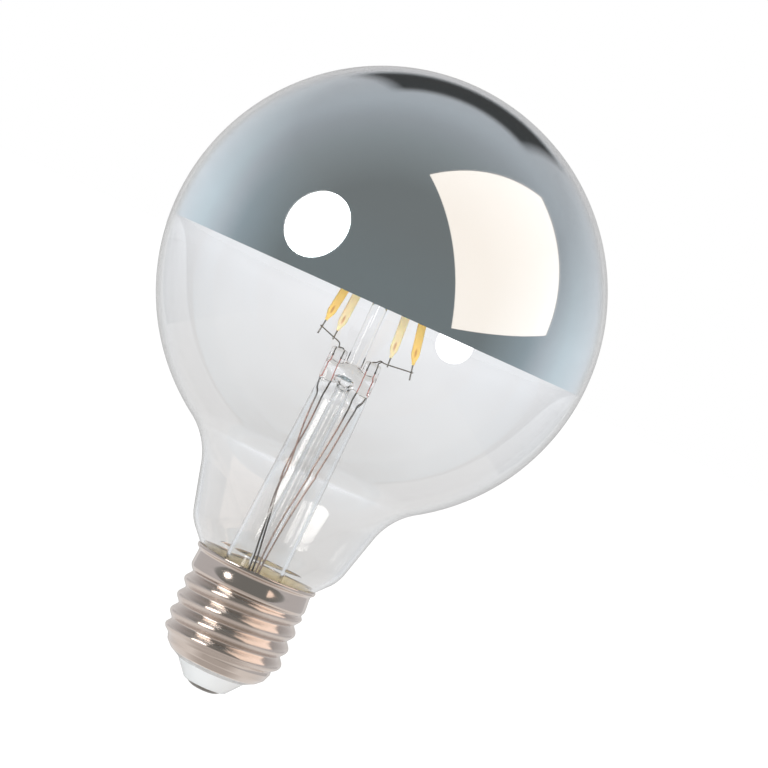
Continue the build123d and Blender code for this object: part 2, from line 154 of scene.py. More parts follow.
def lathe(name, outline, segments, closed=False):
    """Mesh turned from an outline of (radius, height) in millimetres. A point on the axis is a pole."""
    turns = np.linspace(0, 2 * pi, segments, endpoint=False)
    vertices, rings, faces = [], [], []
    for r, z in outline:
        if r < 1e-6:
            rings.append([len(vertices)] * segments)
            vertices.append((0, 0, z * MM))
        else:
            rings.append(list(range(len(vertices), len(vertices) + segments)))
            vertices += [(r * cos(t) * MM, r * sin(t) * MM, z * MM) for t in turns]
    for low, high in zip(rings, rings[1:] + rings[:1] if closed else rings[1:]):
        for i in range(segments):
            j = (i + 1) % segments
            face = list(dict.fromkeys((low[i], low[j], high[j], high[i])))
            if len(face) > 2:
                faces.append(face)
    mesh = bpy.data.meshes.new(name)
    mesh.from_pydata(vertices, [], faces)
    shape = bmesh.new()
    shape.from_mesh(mesh)
    bmesh.ops.recalc_face_normals(shape, faces=shape.faces)
    shape.to_mesh(mesh)
    shape.free()
    return mesh


def bulb_outline(inset):
    """Wall of the bulb from the crown to the end of the neck, set in by part of the wall's thickness."""
    shoulder = Vector((RIM_RADIUS + (SHOULDER_Z - RIM_Z) * tan(SHOULDER_SLOPE), SHOULDER_Z))
    along = Vector((sin(NECK_TAPER), cos(NECK_TAPER)))
    outward = Vector((cos(NECK_TAPER), -sin(NECK_TAPER)))
    globe = Vector((0, GLOBE_Z))
    reach = (globe - shoulder).dot(along)
    # The two blends of the neck are shares of its straight side, from the shoulder to the globe.
    neck = reach - sqrt(reach**2 - (shoulder - globe).length_squared + GLOBE_RADIUS**2)
    blend = NECK_BLEND * neck
    # The upper blend's centre is outside the wall, one blend from the cone and one blend from the globe.
    base = shoulder + outward * blend
    reach = (globe - base).dot(along)
    up = reach - sqrt(reach**2 - (base - globe).length_squared + (GLOBE_RADIUS + blend) ** 2)
    centre = base + along * up
    to_globe = (globe - centre).normalized()
    start = atan2(-to_globe.y, -to_globe.x)
    points = arc(globe, GLOBE_RADIUS - inset, pi / 2, start, GLOBE_STEPS)
    points[0] = (0.0, GLOBE_Z + GLOBE_RADIUS - inset)
    points += arc(centre, blend + inset, atan2(to_globe.y, to_globe.x), pi - NECK_TAPER, NECK_STEPS)[1:]
    # The lower corners move along their mitres, so that the wall keeps its thickness.
    low = NECK_END_RADIUS - inset
    turn = SHOULDER_Z - (shoulder.x - NECK_END_RADIUS) / tan(SHOULDER_SLOPE)
    mitre = tan((SHOULDER_SLOPE + NECK_TAPER) / 2)
    lower = rounded(
        points[-1] + (0,),
        (shoulder.x - inset, SHOULDER_Z + inset * mitre, SHOULDER_BLEND * neck - inset),
        (low, turn + inset * tan(SHOULDER_SLOPE / 2), TURN_IN_RADIUS + inset),
        (low, NECK_END_Z, 0),
    )
    return points + lower[1:]


bulb_mesh = lathe("glass_bulb_blown", bulb_outline(0.0) + bulb_outline(GLASS_WALL)[::-1], GLASS_SEGMENTS)
# Soda-lime glass, blown: clear with a trace of grey, smooth, with slow waves left by the blowing.
CLEAR = {"Base_Color": linear("#FEFEFE"), "Roughness": 0.0, "IOR": 1.5, "Transmission_Weight": 1.0}
clear_glass, shader = new_material("soda_lime_glass", **CLEAR)
wavy_surface(shader, length=14, detail=1.0, strength=0.05, depth=0.2)
bulb = place("glass_bulb_blown", bulb_mesh, clear_glass, "clear_glass", "glass_bulb")
bulb.visible_shadow = False

# Mirror film: aluminium, deposited in vacuum on the inside of the crown down to a masked edge.
# It takes the smoothness of the glass, so it is a mirror from outside and from inside.
MIRROR_RADIUS = 46.6
MIRROR_FILM = 0.2
MIRROR_EDGE_Z = 89.25
MIRROR_STEPS = 72


def film_outline(radius):
    """One face of the film, from the crown down to its edge."""
    edge = -acos(sqrt(1 - ((GLOBE_Z - MIRROR_EDGE_Z) / radius) ** 2))
    points = arc((0, GLOBE_Z), radius, pi / 2, edge, MIRROR_STEPS)
    points[0] = (0.0, GLOBE_Z + radius)
    return points


def uneven_gloss(shader, patch, detail, low, high):
    """Roughness that drifts between two values, in patches of a size in millimetres."""
    tree = shader.id_data
    coords = add(tree, "TexCoord").outputs["Object"]
    patches = add(tree, "TexNoise", {"Vector": coords, "Scale": 1 / (patch * MM), "Detail": detail})
    dull = add(tree, "MapRange", {"Value": patches, "To Min": low, "To Max": high})
    feed(shader, {"Roughness": dull})


both_faces = film_outline(MIRROR_RADIUS) + film_outline(MIRROR_RADIUS - MIRROR_FILM)[::-1]
film_mesh = lathe("mirror_film_crown", both_faces, GLASS_SEGMENTS)
# Deposited aluminium: a clear bright mirror with a cool tint, here and there a little dimmer.
mirror, shader = new_material("deposited_aluminium", Base_Color=linear("#E0EBF0"), Metallic=1.0)
uneven_gloss(shader, patch=22, detail=3.0, low=0.005, high=0.04)
place("mirror_film_crown", film_mesh, mirror, "mirror_film", "mirror_film")

# Glass stem: a flared tube, pressed flat at its top while soft, with an ear round each pair of lead wires.
# Its rim is fused to the neck. The exhaust tube below the press, through which the bulb was pumped,
# and the solid support rod above it, with a button for the bridge wires, are fused to it as one glass.
STEM_X = 0.9
STEM_LEAN = 1.6
STEM_TILT = 1.9
LEAN_FOOT_Z = 28.0
LEAN_LIMIT = 1.2
STEM_RADIUS = 5.8
STEM_TAPER = 0.02
TAPER_LENGTH = 40.0
STEM_WALL = 0.7
FLARE_RADIUS = 10.6
FLARE_HEIGHT = 8.5
FLARE_RIM = 0.8
TUBE_TOP_Z = 66.5
PRESS_Z = 71.0
PRESS_TOP_Z = 74.9
PRESS_HALF = (5.5, 2.2)
PRESS_EDGE = 1.8
PRESS_FILLET = 0.7
CEILING_Z = 70.5
SLIT_HALF = (5.1, 0.8)
SLIT_EDGE = 0.75
EAR_TOP_Z = 77.7
EAR_HALF = (1.72, 1.5)
EAR_EDGE = 0.55
EAR_ROUND = 0.6
LEG_INNER = 3.0
LEG_OUTER = 4.85
EXHAUST_RADIUS = 1.6
EXHAUST_WALL = 0.5
EXHAUST_END_Z = 21.5
EXHAUST_OVERLAP = 0.6
EXHAUST_TILT = 1.0
EXHAUST_FILLET = 0.35
EXHAUST_BORE_TOP_Z = 71.9
HOLE_CENTRE = (-0.5, -2.1, 71.7)
HOLE_HALF = (2.2, 1.7, 1.0)
HOLE_FILLET = 0.5
ROD_RADIUS = 1.7
ROD_FOOT_Z = 73.5
ROD_FILLET = 0.9
ROD_BOW = 0.75
BRIDGE_Z = 121.65
BUTTON_SWELL = 1.1
BUTTON_HALF = 1.35
BUTTON_TOP = 2.0
BUTTON_ROUND = 0.8


def skin(name, distance, centre, radii, turns, levels):
    """Mesh of a form round a leaning axis: one vertex in each cell of a round grid that it crosses."""
    angles = np.arange(-1, turns + 1) * 2 * pi / turns
    r, a, z = np.meshgrid(radii, angles, levels, indexing="ij")
    x, y = centre(z)
    field = distance(x + r * np.cos(a), y + r * np.sin(a), z)
    size = np.array(field.shape)
    inside = field < 0
    sums = np.zeros(tuple(size - 1) + (3,))
    counts = np.zeros(tuple(size - 1))
    base = np.stack(np.meshgrid(*[np.arange(n - 1) for n in size], indexing="ij"), -1)
    for axis in range(3):
        others = [k for k in range(3) if k != axis]
        for i in (0, 1):
            for j in (0, 1):
                low = np.zeros(3, int)
                low[others[0]], low[others[1]] = i, j
                high = low.copy()
                high[axis] = 1
                f0 = field[tuple(slice(o, n - 1 + o) for n, o in zip(size, low))]
                f1 = field[tuple(slice(o, n - 1 + o) for n, o in zip(size, high))]
                crossed = (f0 < 0) != (f1 < 0)
                share = np.where(crossed, f0 / np.where(crossed, f0 - f1, 1), 0)
                point = base + low + share[..., None] * (high - low)
                sums[crossed] += point[crossed]
                counts += crossed
    # The last turn of cells is the first one again.
    used = counts > 0
    used[:, -1] = False
    index = np.full(counts.shape, -1)
    index[used] = np.arange(used.sum())
    index[:, -1] = index[:, 0]
    cells = sums[used] / counts[used][:, None]
    reach = np.interp(cells[:, 0], np.arange(size[0]), radii)
    angle = (cells[:, 1] - 1) * 2 * pi / turns
    level = np.interp(cells[:, 2], np.arange(size[2]), levels)
    x, y = centre(level)
    vertices = np.stack([x + reach * np.cos(angle), y + reach * np.sin(angle), level], -1)
    faces = []
    for axis in range(3):
        u, v = [(1, 2), (2, 0), (0, 1)][axis]
        first = 1 if axis == 1 else 0
        start = [slice(1, n - 1) for n in size]
        start[axis] = slice(first, size[axis] - 1)
        ahead = list(start)
        ahead[axis] = slice(first + 1, size[axis])
        rising = inside[tuple(ahead)].astype(int) - inside[tuple(start)].astype(int)
        for sign in (-1, 1):
            where = np.argwhere(rising == sign) + [s.start for s in start]
            corners = []
            for du, dv in ((0, 0), (-1, 0), (-1, -1), (0, -1)):
                shifted = where.copy()
                shifted[:, u] += du
                shifted[:, v] += dv
                corners.append(index[tuple(shifted.T)])
            quads = np.stack(corners, -1)
            faces.append(quads[:, ::-1] if sign > 0 else quads)
    mesh = bpy.data.meshes.new(name)
    mesh.from_pydata((vertices * MM).tolist(), [], np.concatenate(faces).tolist())
    # The grid leaves a small hole wherever the axis passes through the surface.
    shape = bmesh.new()
    shape.from_mesh(mesh)
    edges = [e for e in shape.edges if e.is_boundary]
    caps = bmesh.ops.holes_fill(shape, edges=edges, sides=0)["faces"]
    bmesh.ops.poke(shape, faces=caps)
    shape.to_mesh(mesh)
    shape.free()
    return mesh


def settle(mesh, distance):
    """Moves the vertices of a skin onto the exact surface and gives back the surface's own normals."""
    probe, wide_probe, least_slope, longest_step = 0.01, 0.03, 0.3, 0.12
    points = np.empty(len(mesh.vertices) * 3)
    mesh.vertices.foreach_get("co", points)
    points = points.reshape(-1, 3) / MM
    axes = np.eye(3)
    for _ in range(5):
        near = distance(*points.T)
        slope = np.stack([distance(*(points + probe * a).T) - near for a in axes], -1) / probe
        step = near / np.maximum((slope**2).sum(-1), least_slope)
        points -= np.clip(step, -longest_step, longest_step)[:, None] * slope
    mesh.vertices.foreach_set("co", (points * MM).ravel())
    mesh.update()
    ahead, back = [[distance(*(points + s * wide_probe * a).T) for a in axes] for s in (1, -1)]
    slope = np.stack([f - b for f, b in zip(ahead, back)], -1)
    return slope / np.linalg.norm(slope, axis=1, keepdims=True)


def ease(low, high, value):
    """Smooth step from 0 to 1 between two values."""
    share = np.clip((value - low) / (high - low), 0, 1)
    return share * share * (3 - 2 * share)


def melt(a, b, blend):
    """The nearer of two distances, with a melted fillet between the two forms."""
    share = np.clip(0.5 + 0.5 * (b - a) / blend, 0, 1)
    return b + (a - b) * share - blend * share * (1 - share)


def box_distance(x, y, half_x, half_y, edge):
    """Distance to a bar of rounded rectangular section."""
    px, py = np.abs(x) - half_x + edge, np.abs(y) - half_y + edge
    return np.hypot(np.maximum(px, 0), np.maximum(py, 0)) + np.minimum(np.maximum(px, py), 0) - edge


def down_the_stem(z):
    """Share of the way from the top of the tube down to the cap's rim, and a little beyond."""
    return np.clip((TUBE_TOP_Z - z) / (TUBE_TOP_Z - LEAN_FOOT_Z), 0, LEAN_LIMIT)


def stem_centre(z):
    """Axis of the stem, which leans and ends on the neck's axis, and of the rod, which bows a little."""
    centred = ease(NECK_END_Z, LEAN_FOOT_Z, z)
    bow = ROD_BOW * np.sin(pi * np.clip((z - PRESS_TOP_Z) / (BRIDGE_Z - PRESS_TOP_Z), 0, 1))
    lower = down_the_stem(z)
    return (STEM_X - STEM_LEAN * lower) * centred, bow - STEM_TILT * lower * centred


def stem_distance(x, y, z):
    """Distance to the glass of the stem, the exhaust tube and the rod, in millimetres."""
    centre_x, centre_y = stem_centre(z)
    x, y = x - centre_x, y - centre_y
    reach = np.hypot(x, y)
    trumpet = np.clip(1 - (z - NECK_END_Z - FLARE_RIM) / (FLARE_HEIGHT - FLARE_RIM), 0, 1) ** 2
    taper = STEM_RADIUS + STEM_TAPER * np.clip(TUBE_TOP_Z - z, 0, TAPER_LENGTH)
    tube = taper + (FLARE_RADIUS - taper) * trumpet
    # The press is rippled by the jaws, and its top is wavy.
    flat = ease(TUBE_TOP_Z, PRESS_Z, z)
    ripple = 0.10 * np.sin(1.1 * z + 0.7 * x) * ease(TUBE_TOP_Z - 2, PRESS_Z, z)
    body = (1 - flat) * (reach - tube) + flat * box_distance(x, y, *PRESS_HALF, PRESS_EDGE) + ripple
    body = -melt(-body, -(z - PRESS_TOP_Z - 0.3 * np.cos(0.9 * x) + 0.25), PRESS_FILLET)
    for side in (-1, 1):
        ear = box_distance(x - side * (LEG_INNER + LEG_OUTER) / 2, y, *EAR_HALF, EAR_EDGE)
        ear = -melt(-ear, -(z - EAR_TOP_Z), EAR_ROUND)
        body = melt(body, np.maximum(ear, PRESS_Z - z), PRESS_FILLET)
    button = np.exp(-(((z - BRIDGE_Z) / BUTTON_HALF) ** 4))
    rod = reach - ROD_RADIUS - BUTTON_SWELL * button
    rod = np.maximum(-melt(-rod, -(z - BRIDGE_Z - BUTTON_TOP), BUTTON_ROUND), ROD_FOOT_Z - z)
    body = melt(body, rod, ROD_FILLET)
    # The hollow of the tube ends in a wavy slit under the press.
    bore = (1 - flat) * (reach - tube + STEM_WALL) + flat * box_distance(x, y, *SLIT_HALF, SLIT_EDGE)
    swirl = 0.3 * np.sin(2.1 * x + 0.6) * np.sin(1.7 * z + 0.4)
    bore = np.maximum(bore, z - CEILING_Z + 0.3 * np.cos(1.5 * x - 0.6) + swirl)
    glass = np.maximum(body, -bore)
    # The exhaust tube hangs in it a little askew, and opens through a hole blown in the front of the press.
    foot = np.minimum(z - EXHAUST_END_Z - EXHAUST_RADIUS, 0)
    askew = y + EXHAUST_TILT * down_the_stem(z)
    tip = np.sqrt(x**2 + askew**2 + foot**2)
    glass = melt(glass, np.maximum(tip - EXHAUST_RADIUS, z - CEILING_Z - EXHAUST_OVERLAP), EXHAUST_FILLET)
    from_hole = [(p - c) / half for p, c, half in zip((x, y, z), HOLE_CENTRE, HOLE_HALF)]
    blown = np.sqrt(from_hole[0] ** 2 + from_hole[1] ** 2 + from_hole[2] ** 2) - 1
    drilled = np.maximum(tip - EXHAUST_RADIUS + EXHAUST_WALL, z - EXHAUST_BORE_TOP_Z)
    drilled = melt(drilled, 0.9 * blown, HOLE_FILLET)
    return np.maximum(np.maximum(glass, -drilled), NECK_END_Z - z)


# The grid's spans of height are listed as (from, to, step). It is finest at the flare, press and button.
GRID_RADII = np.arange(0, 11.8, 0.25)
GRID_TURNS = 144
GRID_SPANS = ((18.4, 30, 0.35), (30, 63, 1.65), (63, 79.5, 0.26), (79.5, 118, 2.2), (118, 124.4, 0.3))
levels = np.concatenate([np.arange(*span) for span in GRID_SPANS])
stem_mesh = skin("glass_stem_fused", stem_distance, stem_centre, GRID_RADII, GRID_TURNS, levels)
stem_normals = settle(stem_mesh, stem_distance)
# Lead glass, drawn and pressed: clear and smooth, with fine lines along it left by the drawing.
stem_glass, shader = new_material("lead_glass", **CLEAR)
wavy_surface(shader, length=2.5, detail=1.0, strength=0.1, depth=0.1, stretch=0.04)
STEM_NODES = ("glass_stem", "exhaust_tube", "support_rod")
stem = place("glass_stem_fused", stem_mesh, stem_glass, "clear_glass", *STEM_NODES)
stem_mesh.normals_split_custom_set_from_vertices(stem_normals)
stem.visible_shadow = False

# Lead wires: in each leg a copper-clad seal wire in the press, welded to nickel wire above and copper below.
# The nickel wires are bent by hand into two bars, which carry the filaments.
SEAL_DIAMETER = 0.22
LEAD_DIAMETER = 0.36
BAR_DIAMETER = 0.26
HAIRPIN_BEND = 0.45
WELD_Z = 76.0
WELD_RADIUS = 0.2
WELD_STRETCH = 1.7
WELD_DROP = 0.1
KNEE_Z = 78.15
BAR_TURN = 5.6
BAR_FORWARD = 1.6
BAR_REACH = {-1: 9.8, 1: 12.1}
BAR_RISE = {-1: 2.3, 1: 1.1}
BOARD_Z = 11.4
BRIDGE_DEPTH = 2.2


def new_shaping(name, source, result, floats, **others):
    """Geometry node tree with named inputs. Gives the tree, their outputs in it and their identifiers."""
    tree = bpy.data.node_groups.new(name, "GeometryNodeTree")
    kinds = {source: "Geometry", **dict.fromkeys(floats, "Float"), **others, "Finish": "Material"}
    keys = {}
    for label, kind in kinds.items():
        socket = tree.interface.new_socket(label, in_out="INPUT", socket_type="NodeSocket" + kind)
        keys[label] = socket.identifier
    tree.interface.new_socket(result, in_out="OUTPUT", socket_type="NodeSocketGeometry")
    return tree, add(tree, "NodeGroupInput").outputs, keys


def end_shaping(tree, given, result, geometry):
    """Ends a tree with real geometry in its material."""
    real = add(tree, "RealizeInstances", {"Geometry": geometry})
    dressed = add(tree, "SetMaterial", {"Geometry": real, "Material": given["Finish"]})
    add(tree, "NodeGroupOutput", {result: dressed})


def made_by(tree, keys, name, mesh, values):
    """Plain mesh that a geometry node tree makes from a mesh and its named inputs."""
    source = bpy.data.objects.new(name + "_route", mesh)
    scene.collection.objects.link(source)
    maker = source.modifiers.new(tree.name, "NODES")
    maker.node_group = tree
    for label, value in values.items():
        maker[keys[label]] = value
    graph = bpy.context.evaluated_depsgraph_get()
    result = bpy.data.meshes.new_from_object(source.evaluated_get(graph), depsgraph=graph)
    source.modifiers.remove(maker)
    bpy.data.objects.remove(source)
    result.name = name
    return result


WIRE_SIZES = ("Wire diameter", "Bend radius")
tree, given, wire_keys = new_shaping("bent_round_wire", "Route", "Wire", WIRE_SIZES, Springy="Bool")
wire_tree = tree
path = add(tree, "MeshToCurve", {"Mesh": given["Route"]})
bends = {"Curve": path, "Radius": given["Bend radius"], "Count": 10, "Limit Radius": True}
bent = add(tree, "FilletCurve", bends, mode="POLY")
sprung = add(tree, "CurveSplineType", {"Curve": path}, spline_type="CATMULL_ROM")
sprung = add(tree, "ResampleCurve", {"Curve": sprung, "Count": 90})
either = {"Switch": given["Springy"], "False": bent, "True": sprung}
laid = add(tree, "Switch", either, input_type="GEOMETRY")
half = add(tree, "Math", {0: given["Wire diameter"], 1: 0.5}, "MULTIPLY")
section = add(tree, "CurvePrimitiveCircle", {"Resolution": 16, "Radius": half})
drawn = add(tree, "CurveToMesh", {"Curve": laid, "Profile Curve": section, "Fill Caps": True})
end_shaping(tree, given, "Wire", drawn)


def lay_wire(name, node, route, diameter, material, slot, bend=0.8, springy=False):
    """Round wire along points in millimetres on the stem's own axis, in the place of a CAD node."""
    line = bpy.data.meshes.new(name + "_points")
    points = [((x + STEM_X) * MM, y * MM, z * MM) for x, y, z in route]
    line.from_pydata(points, [(i, i + 1) for i in range(len(points) - 1)], [])
    values = {"Wire diameter": diameter * MM, "Bend radius": bend * MM}
    values.update({"Springy": springy, "Finish": material})
    place(name, made_by(wire_tree, wire_keys, name, line, values), material, slot, node)


def bar_point(side, reach):
    """Point on a bar at a distance across from the stem's axis."""
    forward = max(0, (reach - BAR_TURN) / (BAR_REACH[side] - BAR_TURN)) * BAR_FORWARD
    rise = (reach - LEG_INNER) / (BAR_REACH[side] - LEG_INNER) * BAR_RISE[side]
    return (side * reach, -forward, KNEE_Z + rise)


def set_stops(ramp, stops):
    """Gives a colour ramp its stops of (position, colour)."""
    elements = ramp.color_ramp.elements
    elements.remove(elements[1])
    elements[0].position, elements[0].color = stops[0]
    for position, colour in stops[1:]:
        elements.new(position).color = colour


def patchy_tint(shader, patch, detail, dark, light):
    """Colour that drifts between two tones, in patches of a size in millimetres."""
    tree = shader.id_data
    coords = add(tree, "TexCoord").outputs["Object"]
    patches = add(tree, "TexNoise", {"Vector": coords, "Scale": 1 / (patch * MM), "Detail": detail})
    tint = add(tree, "ValToRGB", {"Fac": patches})
    set_stops(tint, ((0.0, linear(dark)), (1.0, linear(light))))
    feed(shader, {"Base Color": tint})


# Nickel wire, drawn: grey and half dull, with darker oxide from the sealing flame.
nickel_wire, shader = new_material("drawn_nickel_wire", Metallic=1.0, Roughness=0.35)
patchy_tint(shader, patch=1.5, detail=3.0, dark="#57514C", light="#A0988F")

# Copper-clad seal wire: the borate on it turns brick red in the press.
seal_copper, shader = new_material("borated_copper_clad_wire", Metallic=0.6, Roughness=0.4)
patchy_tint(shader, patch=0.8, detail=2.0, dark="#B0524A", light="#DE9D93")

# Copper lead, partly tinned: a dull pink. The right pair is grey at its top, where the tin begins,
# and the left one is painted dark at both ends as shade. A stop is a share of the height between two levels.
LEAD_TONES_Z = (30, 70)
LEAD_TONES_AND_SHADE = {
    "left": (
        (0.0, "#45423F"),
        (0.28, "#45423F"),
        (0.4, "#8E817B"),
        (0.62, "#A58A80"),
        (0.86, "#9C8076"),
        (0.95, "#4C4644"),
    ),
    "right": ((0.0, "#B09A92"), (0.5, "#BBA299"), (0.88, "#AA9188"), (0.92, "#5E5B58")),
}
lead_copper, shader = new_material("part_tinned_copper_wire", Metallic=0.9, Roughness=0.35)
tree = shader.id_data
coords = add(tree, "TexCoord").outputs["Object"]
across, _, height = add(tree, "SeparateXYZ", {"Vector": coords}).outputs
patches = add(tree, "TexNoise", {"Vector": coords, "Scale": 1 / (3.0 * MM), "Detail": 2.0})
ragged = add(tree, "Math", {0: patches, 1: 3.0 * MM, 2: height}, "MULTIPLY_ADD")
low, high = [level * MM for level in LEAD_TONES_Z]
share = add(tree, "MapRange", {"Value": ragged, "From Min": low, "From Max": high})
pairs = {}
for side, stops in LEAD_TONES_AND_SHADE.items():
    pairs[side] = add(tree, "ValToRGB", {"Fac": share})
    set_stops(pairs[side], [(position, linear(colour)) for position, colour in stops])
on_right = add(tree, "Math", {0: across, 1: -0.4 * MM}, "GREATER_THAN")
tint = {"Factor": on_right, "A": pairs["left"], "B": pairs["right"]}
feed(shader, {"Base Color": add(tree, "Mix", tint, data_type="RGBA")})

LEGS_X = (-LEG_OUTER, -LEG_INNER, LEG_INNER, LEG_OUTER)
LEGS = dict(zip(("left_outer", "left_inner", "right_inner", "right_outer"), LEGS_X))
for name, x in LEGS.items():
    route = [(x, 0, CEILING_Z), (x, 0, WELD_Z)]
    names = ("seal_wire_drawn_" + name, "seal_wire_" + name)
    lay_wire(*names, route, SEAL_DIAMETER, seal_copper, "copper_wire")

# The hairpins rise from their welds in one plane, as (x, z). A bar runs on outwards from its last bend.
HAIRPINS = {
    "lead_bar_left": [(-LEG_OUTER, 77.2), (-4.35, 77.85), (-4.55, 78.65), (-5.3, 79.0)],
    "lead_post_left": [(-2.95, 77.2), (-3.25, 77.95), (-4.35, 77.85)],
    "lead_bar_right": [(LEG_INNER, 77.1), (3.4, 77.75), (4.2, 78.05), (LEG_OUTER, 78.75), (5.6, 78.55)],
    "lead_post_right": [(4.8, 77.2), (4.65, 78.0), (5.2, 78.6)],
}
BAR_RUNS = {"lead_bar_left": (-1, 6.2), "lead_bar_right": (1, 6.6)}
for (name, bends), leg in zip(HAIRPINS.items(), LEGS_X):
    route = [(leg, 0, WELD_Z)] + [(x, 0, z) for x, z in bends]
    if name in BAR_RUNS:
        side, reach = BAR_RUNS[name]
        route += [bar_point(side, reach), bar_point(side, BAR_REACH[side])]
    lay_wire(name + "_bent", name, route, BAR_DIAMETER, nickel_wire, "nickel_wire", bend=HAIRPIN_BEND)

beads = bmesh.new()
for x in LEGS_X:
    spot = Matrix.Translation(Vector((x + STEM_X, 0, WELD_Z - WELD_DROP)) * MM)
    spot = spot @ Matrix.Diagonal((1, 1, WELD_STRETCH, 1))
    bmesh.ops.create_icosphere(beads, subdivisions=3, radius=WELD_RADIUS * MM, matrix=spot)
bead_mesh = bpy.data.meshes.new("weld_beads")
beads.to_mesh(bead_mesh)
beads.free()
place("weld_beads", bead_mesh, nickel_wire, "nickel_wire")

# Each lead leaves the press at its leg, bends freely through the tube and ends in line with the others.
LEAD_BENDS = {
    "left_outer": ((-4.6, -0.2, 67), (-4.4, -1.4, 60), (-3.6, -2.95, 51), (-3.9, -3.4, 46), (-3, -4.3, 36)),
    "left_inner": ((-3.3, -0.2, 68), (-3.5, -1.5, 60), (-4.2, -2.0, 51), (-3.5, -3.2, 44), (-2.3, -4.6, 35)),
    "right_inner": ((2.9, -0.2, 68), (2.4, -2.05, 62), (1.5, -3.15, 55), (0.5, -4.1, 47), (-0.6, -4.65, 38)),
    "right_outer": ((4.4, -0.2, 68), (3.6, -1.85, 62), (2.8, -2.95, 55), (1.5, -4.1, 46), (0.4, -4.75, 37)),
}
LEAD_FEET_X = {"left_outer": -2.35, "left_inner": -1.63, "right_inner": -0.91, "right_outer": -0.19}
LEAD_FEET_YZ = ((-5.0, 29), (-4.9, 24), (-3.9, BOARD_Z))
for name, bends in LEAD_BENDS.items():
    route = [(LEGS[name], 0, CEILING_Z), *bends] + [(LEAD_FEET_X[name], y, z) for y, z in LEAD_FEET_YZ]
    names = ("outer_lead_laid_" + name, "outer_lead_" + name)
    lay_wire(*names, route, LEAD_DIAMETER, lead_copper, "lead_wire", springy=True)

BRIDGES = {"front": (-BRIDGE_DEPTH, -4.2, 3.8), "back": (BRIDGE_DEPTH, -3.6, 4.35)}
for name, (y, left_x, right_x) in BRIDGES.items():
    route = [(left_x, y, BRIDGE_Z), (right_x, y, BRIDGE_Z)]
    names = ("bridge_wire_drawn_" + name, "bridge_wire_" + name)
    lay_wire(*names, route, BAR_DIAMETER, nickel_wire, "nickel_wire")

# LED filaments: a row of small blue chips on a strip, moulded over with silicone full of yellow phosphor.
# Each end narrows to a flat metal tab, welded to a bar below and to a bridge wire above.
FILAMENT_LENGTH = 38.0
FILAMENT_WIDTH = 1.85
FILAMENT_THICKNESS = 1.1
FILAMENT_TAPER = 2.4
FILAMENT_TIP = 0.35
FILAMENT_SQUARENESS = 0.55
CHIP_PITCH = 1.3
CHIP_BULGE = 0.012
TAB_LENGTH = 1.6
TAB_OFFSET = 0.26
TAB_WIDTH = 0.34
TAB_THICKNESS = 0.14
TAB_GRIP = 0.5
TAB_HEAD = 0.6
TAB_TAIL = {-1: 1.7, 1: 0.5}
TAB_FACES = [[0, 3, 2, 1], [4, 5, 6, 7], [0, 1, 5, 4], [1, 2, 6, 5], [2, 3, 7, 6], [3, 0, 4, 7]]

STRIP_SIZES = ("Width", "Thickness", "Taper", "Chip pitch", "Length")
tree, given, strip_keys = new_shaping("phosphor_strip", "Axis", "Strip", STRIP_SIZES, Across="Vector")
strip_tree = tree
path = add(tree, "MeshToCurve", {"Mesh": given["Axis"]})
fine = add(tree, "ResampleCurve", {"Curve": path, "Count": 200})
along = add(tree, "SplineParameter").outputs["Length"]
left = add(tree, "Math", {0: given["Length"], 1: along}, "SUBTRACT")
near = add(tree, "Math", {0: along, 1: left}, "MINIMUM")
narrowed = {"Value": near, "From Max": given["Taper"], "To Min": FILAMENT_TIP, "To Max": 1.0}
swell = add(tree, "MapRange", narrowed, interpolation_type="SMOOTHSTEP")
# It bulges a little over each chip.
phase = add(tree, "Math", {0: along, 1: given["Chip pitch"]}, "DIVIDE")
turn = add(tree, "Math", {0: phase, 1: 2 * pi}, "MULTIPLY")
ripple = add(tree, "Math", {0: turn}, "COSINE")
bulge = add(tree, "Math", {0: ripple, 1: CHIP_BULGE, 2: swell}, "MULTIPLY_ADD")
level = add(tree, "SetCurveNormal", {"Curve": fine, "Normal": given["Across"]}, mode="FREE")
mark = {"Geometry": level, "Name": "along", "Value": along}
marked = add(tree, "StoreNamedAttribute", mark, data_type="FLOAT", domain="POINT")
# Its section is a rounded square, drawn out to the width and the thickness.
edge = add(tree, "CurvePrimitiveCircle", {"Resolution": 28, "Radius": 0.5})
corner = add(tree, "InputPosition")
signs = add(tree, "VectorMath", {0: corner}, "SIGN")
size = add(tree, "VectorMath", {0: corner}, "ABSOLUTE")
double = add(tree, "VectorMath", {0: size, "Scale": 2.0}, "SCALE")
power = (FILAMENT_SQUARENESS, FILAMENT_SQUARENESS, 1.0)
square = add(tree, "VectorMath", {0: double, 1: power}, "POWER")
signed = add(tree, "VectorMath", {0: square, 1: signs}, "MULTIPLY")
whole = add(tree, "CombineXYZ", {"X": given["Width"], "Y": given["Thickness"]})
half = add(tree, "VectorMath", {0: whole, "Scale": 0.5}, "SCALE")
sized = add(tree, "VectorMath", {0: signed, 1: half}, "MULTIPLY")
mark = {"Geometry": edge, "Name": "section", "Value": signed}
outlined = add(tree, "StoreNamedAttribute", mark, data_type="FLOAT_VECTOR", domain="POINT")
profile = add(tree, "SetPosition", {"Geometry": outlined, "Position": sized})
moulding = {"Curve": marked, "Profile Curve": profile, "Fill Caps": True, "Scale": bulge}
end_shaping(tree, given, "Strip", add(tree, "CurveToMesh", moulding))


